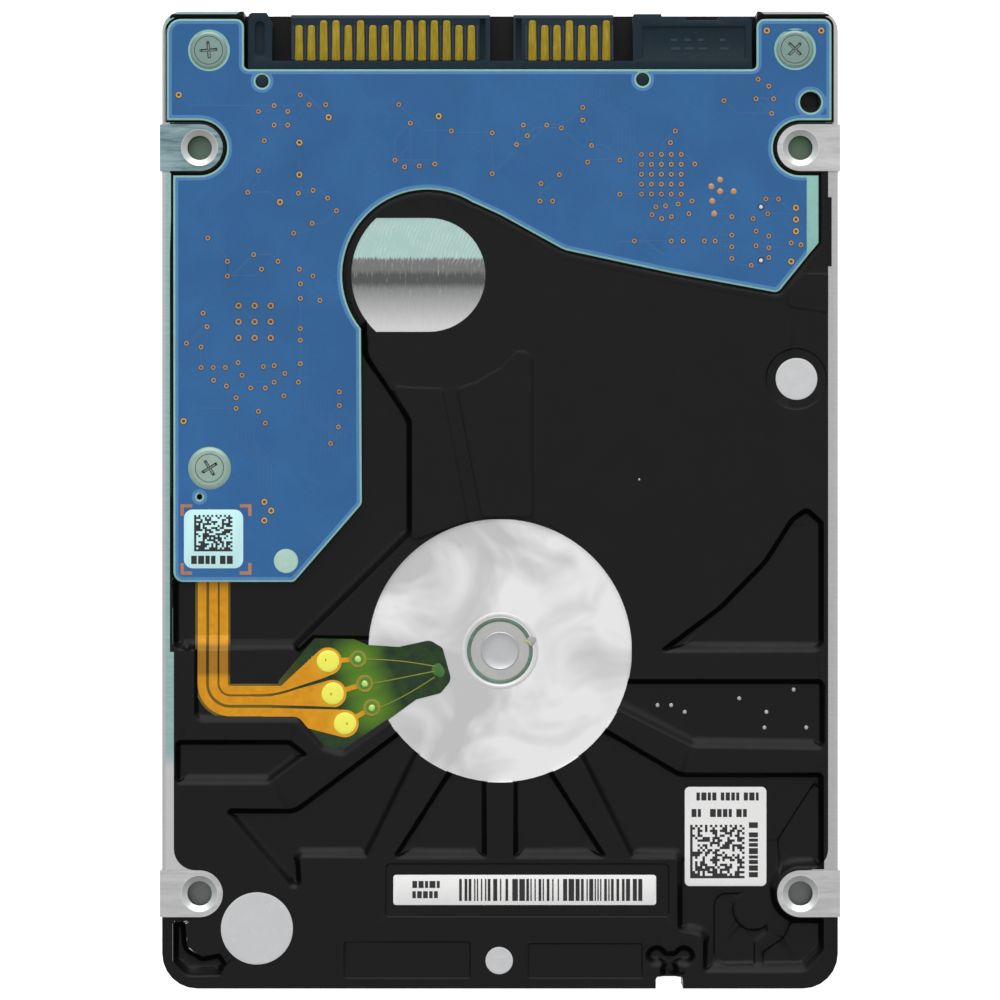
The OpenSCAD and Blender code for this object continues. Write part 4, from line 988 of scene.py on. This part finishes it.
def flex_materials(pads, rings):
    def bend(n):
        """Bounds of the part that goes down the step in the floor, where film and traces get painted shade."""
        return n.above(n.y, -18.3, -17.7), n.above(n.y, -14.6, -15.1)

    n = Net("flex_film")
    blotch = n.noise(0.9, 4, 0.6, warp=0.5)
    color = n.mix(n.above(blotch, 0.3, 0.7), "142c1e", "284618")
    glow = n.any(*[n.above(n.distance(p), 3.2, 0.6) for p in rings])
    color = n.mix(n.mul(glow, 0.9), color, "64941a")
    run = n.above(n.x, -20.5, -24.5)
    color = n.mix(run, color, "6e5f1e")
    # painted shade: the film is darker where it goes down the step
    color = n.mix(n.mul(n.mul(*bend(n), run), 0.9), color, "28200e")
    n.done(color, n.blend(blotch, 0.3, 0.42), 0.0, n.bump(n.noise(3, 3, 0.6), 0.3, 0.008), Specular_IOR_Level=0.25)
    film = n.mat
    n = Net("flex_trace")
    blotch = n.noise(1.3, 4, 0.6)
    color = n.mix(n.above(blotch, 0.3, 0.7), "d48e0a", "e8a014")
    # painted shade: the traces are darker where they go down the step
    color = n.mix(n.mul(n.mul(*bend(n), n.above(n.x, -24, -26)), 0.65), color, "805c18")
    near = n.any(*[n.above(n.distance(p), 2.2, 0.9) for p in pads])
    color = n.mix(n.mul(near, 0.45), color, "f6be32")
    n.done(color, n.blend(blotch, 0.3, 0.42), 0.1, n.bump(blotch, 0.3, 0.006), Specular_IOR_Level=0.25)
    return film, n.mat


def build_flex():
    pads = sorted((tuple(g.mean(0)[:2]) for g in islands("motor_flex_joints")), key=lambda p: -p[1])
    rings = ((-14.6, -16.35), (-13.9, -18.88), (-13.17, -21.36))
    film, trace = flex_materials(pads, rings)
    paint("motor_flex_film", film)
    paint("motor_flex_traces", trace)
    z = corners("motor_flex_joints")[0][2]
    b, r = Build(), 1.13
    for p in pads:
        b.lathe(p, z, [(r * 1.02, 0), (r, 0.05), (r * 0.95, 0.08), (r * 0.7, 0.1), (r * 0.35, 0.11), (0.001, 0.115)],
                40, wobble=0.012)
        a, q = rng.uniform(0, 6.28), rng.uniform(0.1, 0.3)
        x, y = p[0] + q * math.cos(a), p[1] + q * math.sin(a)
        b.bar(x - 0.05, y - 0.14, x + 0.05, y + 0.14, z + 0.09, z + 0.118, 1)
    looks = [finish("flex_solder", "fffd60", 0.95, 0.0, (0.3, 0.42), 2.2, 0.01, spec=0.4),
             finish("solder_pit", "785c22", 0.8, 0.2, (0.4, 0.5), 3)]
    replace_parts(b.make("flex_solder_joints", looks, slot="solder_yellow"), "motor_flex_joints")
    bead, lacquer, wire, spot, floor = range(5)
    looks = [finish("ring_bead", "c4ee7c", 0.9, 0.1, (0.2, 0.3), 3, coat=0.3),
             finish("flex_lacquer", "989418", 0.8, 0.1, (0.25, 0.35), 3, coat=0.3),
             finish("flex_wire", "868a28", 0.8, 0.2, (0.3, 0.4), 3),
             finish("film_spot", "427624", 0.8, 0, (0.25, 0.35), 3),
             finish("ring_floor", "528a20", 0.85, 0, (0.25, 0.35), 3)]
    b = Build()
    for p in rings:
        b.lathe(p, z, [(0.9, -0.01), (0.86, 0.03), (0.76, 0.045), (0.66, 0.03), (0.62, -0.02)],
                32, lacquer, 0.02, False)
        b.lathe(p, z, [(0.66, -0.05), (0.62, 0.005), (0.001, 0.01)], 24, floor)
        b.lathe(p, z, [(0.36, -0.05), (0.32, 0.05), (0.2, 0.1), (0.001, 0.12)], 20, bead, 0.04)
    tip, t = np.array([-6.7, -17.6]), np.linspace(0, 1, 14)[:, None]
    for p, end, bow in zip(rings, (0.5, 0.0, -0.6), (1, 0, -1)):
        start, goal = np.array(p) + (0.85, 0), tip + (0.0, end)
        path = start + (goal - start) * t + np.array([0, 0.16]) * np.sin(math.pi * t) * bow
        b.strip(path, 0.13, z - 0.055, z + 0.01, wire)
    b.lathe(tip + (0.35, 0.1), z, [(0.72, -0.065), (0.6, -0.03), (0.001, -0.01)], 24, spot, 0.1)
    for k in range(9):
        x, y = -21.9 + 0.31 * k, -18.9 + 0.33 * k
        b.bar(x, y, x + float(rng.uniform(0.16, 0.34)), y + 0.2, z - 0.055, z - 0.035, wire)
    b.make("flex_rings_and_wires", looks, slot="flex_copper")


# ---------- connector ----------

def build_connector():
    paint("connector_housing", finish("housing_plastic", "122834", 0.8, 0, (0.4, 0.55), 2.5, relief=0.015, spec=0.2))
    n = Net("contact_gold")
    worn = n.noise(1.2, 4, 0.6, (3, 0.6, 1))
    color = n.mix(n.above(worn, 0.35, 0.7), "927c10", "ac941a")
    streak = n.mul(n.above(n.y, 46.2, 46.8), n.above(n.y, 49.2, 48.4),
                   n.above(n.noise(1.2, 2, 0.5, (3, 0.3, 1)), 0.5, 0.7))
    color = n.mix(n.mul(streak, 0.3), color, "ceb65a")
    gold = n.done(color, n.blend(worn, 0.3, 0.4), 0.6, n.bump(worn, 0.2, 0.003))
    lo, hi = corners("power_contacts")
    b, pitch = Build(), 1.27
    for node, count in (("power_contacts", 15), ("signal_contacts", 7)):
        paint(node, gold)
        bevel(node, 0.05)
        # a rib on each side of every contact, with a rounded end
        for k in range(count + 1):
            x = corners(node)[0][0] + 0.42 - pitch / 2 + pitch * k
            b.lathe((x, lo[1] + 0.12), lo[2], [(0.19, -0.02), (0.17, 0.1), (0.1, 0.17), (0.001, 0.19)],
                    12, wobble=0.04)
            b.strip([(x, lo[1] + 0.2), (x, lo[1] + 1.4), (x, hi[1] - 0.5)], 0.2, lo[2] - 0.01, lo[2] + 0.035)
    # plain bars on the guide block, in place of moulded characters
    for x in (17.6, 19.0, 20.4, 22.6):
        b.bar(x, 46.3, x + 0.9, 46.55, 6.02, 6.09)
        b.bar(x, 47.2, x + 0.6, 47.45, 6.02, 6.09)
    # painted highlight: ribs and bars are the housing plastic painted lighter, as if they caught the light
    b.make("connector_ribs", finish("lit_housing_ribs", "283844", 0.8, 0, (0.4, 0.5), 3, spec=0.35),
           slot="connector_plastic")
    bevel("connector_housing", 0.09)


# ---------- everything that CAD draws and the looks only finish ----------

def build_finishes():
    for names, *look in (
            ("top_cover", "bcbec0", 0.92, 0.95, (0.3, 0.42), 1.8, 0.006, (0.2, 3, 1)),
            ("cover_gasket coil_frame head_header", "2c2d30", 0.8, 0, (0.35, 0.55), 3),
            ("cover_screws", "96999d", 0.85, 0.9, (0.28, 0.42), 3),
            ("board_screws_flat", "88a29c", 0.88, 0.6, (0.3, 0.42), 2.2, 0.006),
            ("board_screw_pan", "a0baae", 0.88, 0.6, (0.3, 0.42), 2.2, 0.006),
            ("controller_chip memory_chip motor_driver_chip", "26272a", 0.85, 0, (0.5, 0.7), 5, 0.02),
            ("board_passives", "96764e", 0.75, 0, (0.35, 0.5), 6),
            ("board_insulator", "cec6a0", 0.9, 0, (0.25, 0.4), 2),
            ("foil_seals", "d5d6d7", 0.93, 0.6, (0.4, 0.5), 2),
            ("bearing_sleeve", "c4c4c2", 0.9, 0.9, (0.25, 0.4), 2.5),
            ("thrust_cap spindle_hub disk_clamp actuator_arms yoke_posts",
             "cdcfd2", 0.9, 1.0, (0.24, 0.38), 2, 0.006, (1, 1, 6)),
            ("bearing_glue", "688a74", 0.7, 0, (0.3, 0.4)),
            ("stator_core", "82858a", 0.8, 0.8, (0.4, 0.55), 3, 0.03, (1, 1, 14)),
            ("stator_coils", "ba6838", 0.7, 0.8, (0.25, 0.4), 4, 0.06, (1, 1, 10)),
            ("spindle_shaft", "bec1c4", 0.9, 1.0, (0.15, 0.25), 3),
            ("rotor_magnet", "4e5054", 0.85, 0.4, (0.4, 0.55), 3),
            ("disk_platter", "ced0d4", 0.97, 1.0, (0.04, 0.09), 0.6, 0.001),
            ("clamp_screw", "8e9296", 0.85, 0.9, (0.25, 0.4), 3),
            ("pivot_shaft", "bec1c4", 0.88, 1.0, (0.2, 0.3), 3),
            ("pivot_balls", "d6d8da", 0.95, 1.0, (0.06, 0.12), 3),
            ("pivot_sleeve", "b8bcc0", 0.9, 1.0, (0.2, 0.3), 3),
            ("head_suspensions", "d0d2d4", 0.92, 1.0, (0.15, 0.28), 3, 0.004),
            ("head_sliders", "46484e", 0.85, 0.2, (0.2, 0.35), 5),
            ("voice_coil", "be6c3c", 0.75, 0.8, (0.25, 0.4), 2, 0.05, (1, 1, 12)),
            ("yoke_cover_side yoke_deck_side", "a8abae", 0.85, 1.0, (0.3, 0.48), 1.2, 0.02),
            ("drive_magnets", "808388", 0.85, 0.9, (0.22, 0.36), 1.5),
            ("crash_stops", "242426", 0.85, 0, (0.6, 0.75), 4),
            ("load_ramp", "e2dcc8", 0.92, 0, (0.35, 0.5), 2),
            ("ramp_screw", "969a9e", 0.85, 0.9, (0.28, 0.4), 3),
            ("latch_lever", "3c3e43", 0.85, 0, (0.35, 0.5), 3),
            ("latch_pin", "bec1c4", 0.9, 1.0, (0.2, 0.3), 3),
            ("actuator_flex", "b4742e", 0.8, 0, (0.25, 0.4), 2, 0.01, None, 0.3),
            ("flex_bracket", "4a4c50", 0.85, 0, (0.4, 0.55), 3),
            ("recirculation_filter", "e8eae8", 0.9, 0, (0.75, 0.9), 6, 0.08),
            ("breather_filter", "28292b", 0.8, 0, (0.7, 0.9), 6, 0.08)):
        nodes = names.split()
        material = finish(nodes[0] + "_finish", *look)
        for node in nodes:
            paint(node, material)
    for width, nodes in (
            (0.015, "barcode_label matrix_label board_label"),
            (0.04, "circuit_board"),
            (0.05, "controller_chip memory_chip"),
            (0.06, "spindle_hub drive_magnets"),
            (0.08, "cover_screws disk_clamp actuator_arms yoke_cover_side yoke_deck_side coil_frame "
                   "latch_lever cover_gasket"),
            (0.1, "load_ramp"),
            (0.12, "top_cover voice_coil recirculation_filter"),
            (0.15, "stator_coils")):
        for node in nodes.split():
            bevel(node, width)
    for node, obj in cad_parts.items():
        smooth(obj, 30)


# ---------- stage ----------

def build_stage():
    n = Net("floor_white")
    color = n.mix(n.noise(0.02, 2, 0.5), (0.93, 0.93, 0.93, 1), (0.96, 0.96, 0.96, 1))
    n.done(color, 0.7, Emission_Color=(1, 1, 1, 1), Emission_Strength=0.8)
    s = 3000
    floor = solid("floor", [(-s, -s, 0), (s, -s, 0), (s, s, 0), (-s, s, 0)], [(0, 1, 2, 3)], [n.mat])
    floor.location.z = cad_box[0][2] - 0.0001

    sky = bpy.data.worlds.new("studio")
    sky.use_nodes = True
    room = Tree(sky.node_tree)
    direction = room.node("TexCoord", (), "Generated")

    def glow(axis, low, high, weak, strong):
        """Light of the room, from weak to strong as the view turns towards an axis."""
        lean = room.node("VectorMath", (direction, axis), "Value", operation="DOT_PRODUCT")
        return room.node("MapRange", (lean, low, high, weak, strong), interpolation_type="SMOOTHSTEP")

    total = room.node("Math", (glow((0, 0.38, 0.925), -0.4, 0.92, 0.08, 0.69),
                               glow((0, 0.8, 0.6), 0.76, 0.98, 0.0, 1.72)))
    background = room.tree.nodes["Background"]
    room.link((1, 1, 1, 1), background.inputs[0])
    room.link(total, background.inputs[1])
    bpy.context.scene.world = sky
    for name, place, size, power in (
            ("overhead", (-0.1, 0.1, 1.0), 0.9, 0.4), ("front_strip", (0.0, 0.9, 0.3), 0.7, 0.8)):
        light = bpy.data.lights.new(name, "AREA")
        light.size, light.energy = size, power
        obj = bpy.data.objects.new(name, light)
        obj.location = place
        obj.rotation_euler = (-Vector(place)).to_track_quat("-Z", "Y").to_euler()
        bpy.context.scene.collection.objects.link(obj)
    cam = bpy.data.cameras.new("camera")
    cam.lens, cam.sensor_width = 180, 36
    cam.clip_start, cam.clip_end = 0.01, 20
    obj = bpy.data.objects.new("camera", cam)
    field = 0.1027  # side of the picture at the deck, in metres
    obj.location = (0, 0, Z_DECK * MM + field * cam.lens / cam.sensor_width)
    bpy.context.scene.collection.objects.link(obj)
    bpy.context.scene.camera = obj
    bpy.context.scene.view_settings.view_transform = "Standard"


build_finishes()
build_casting()
build_board()
build_screw_marks()
build_foils()
build_bearing()
build_labels()
build_flex()
build_connector()
build_stage()
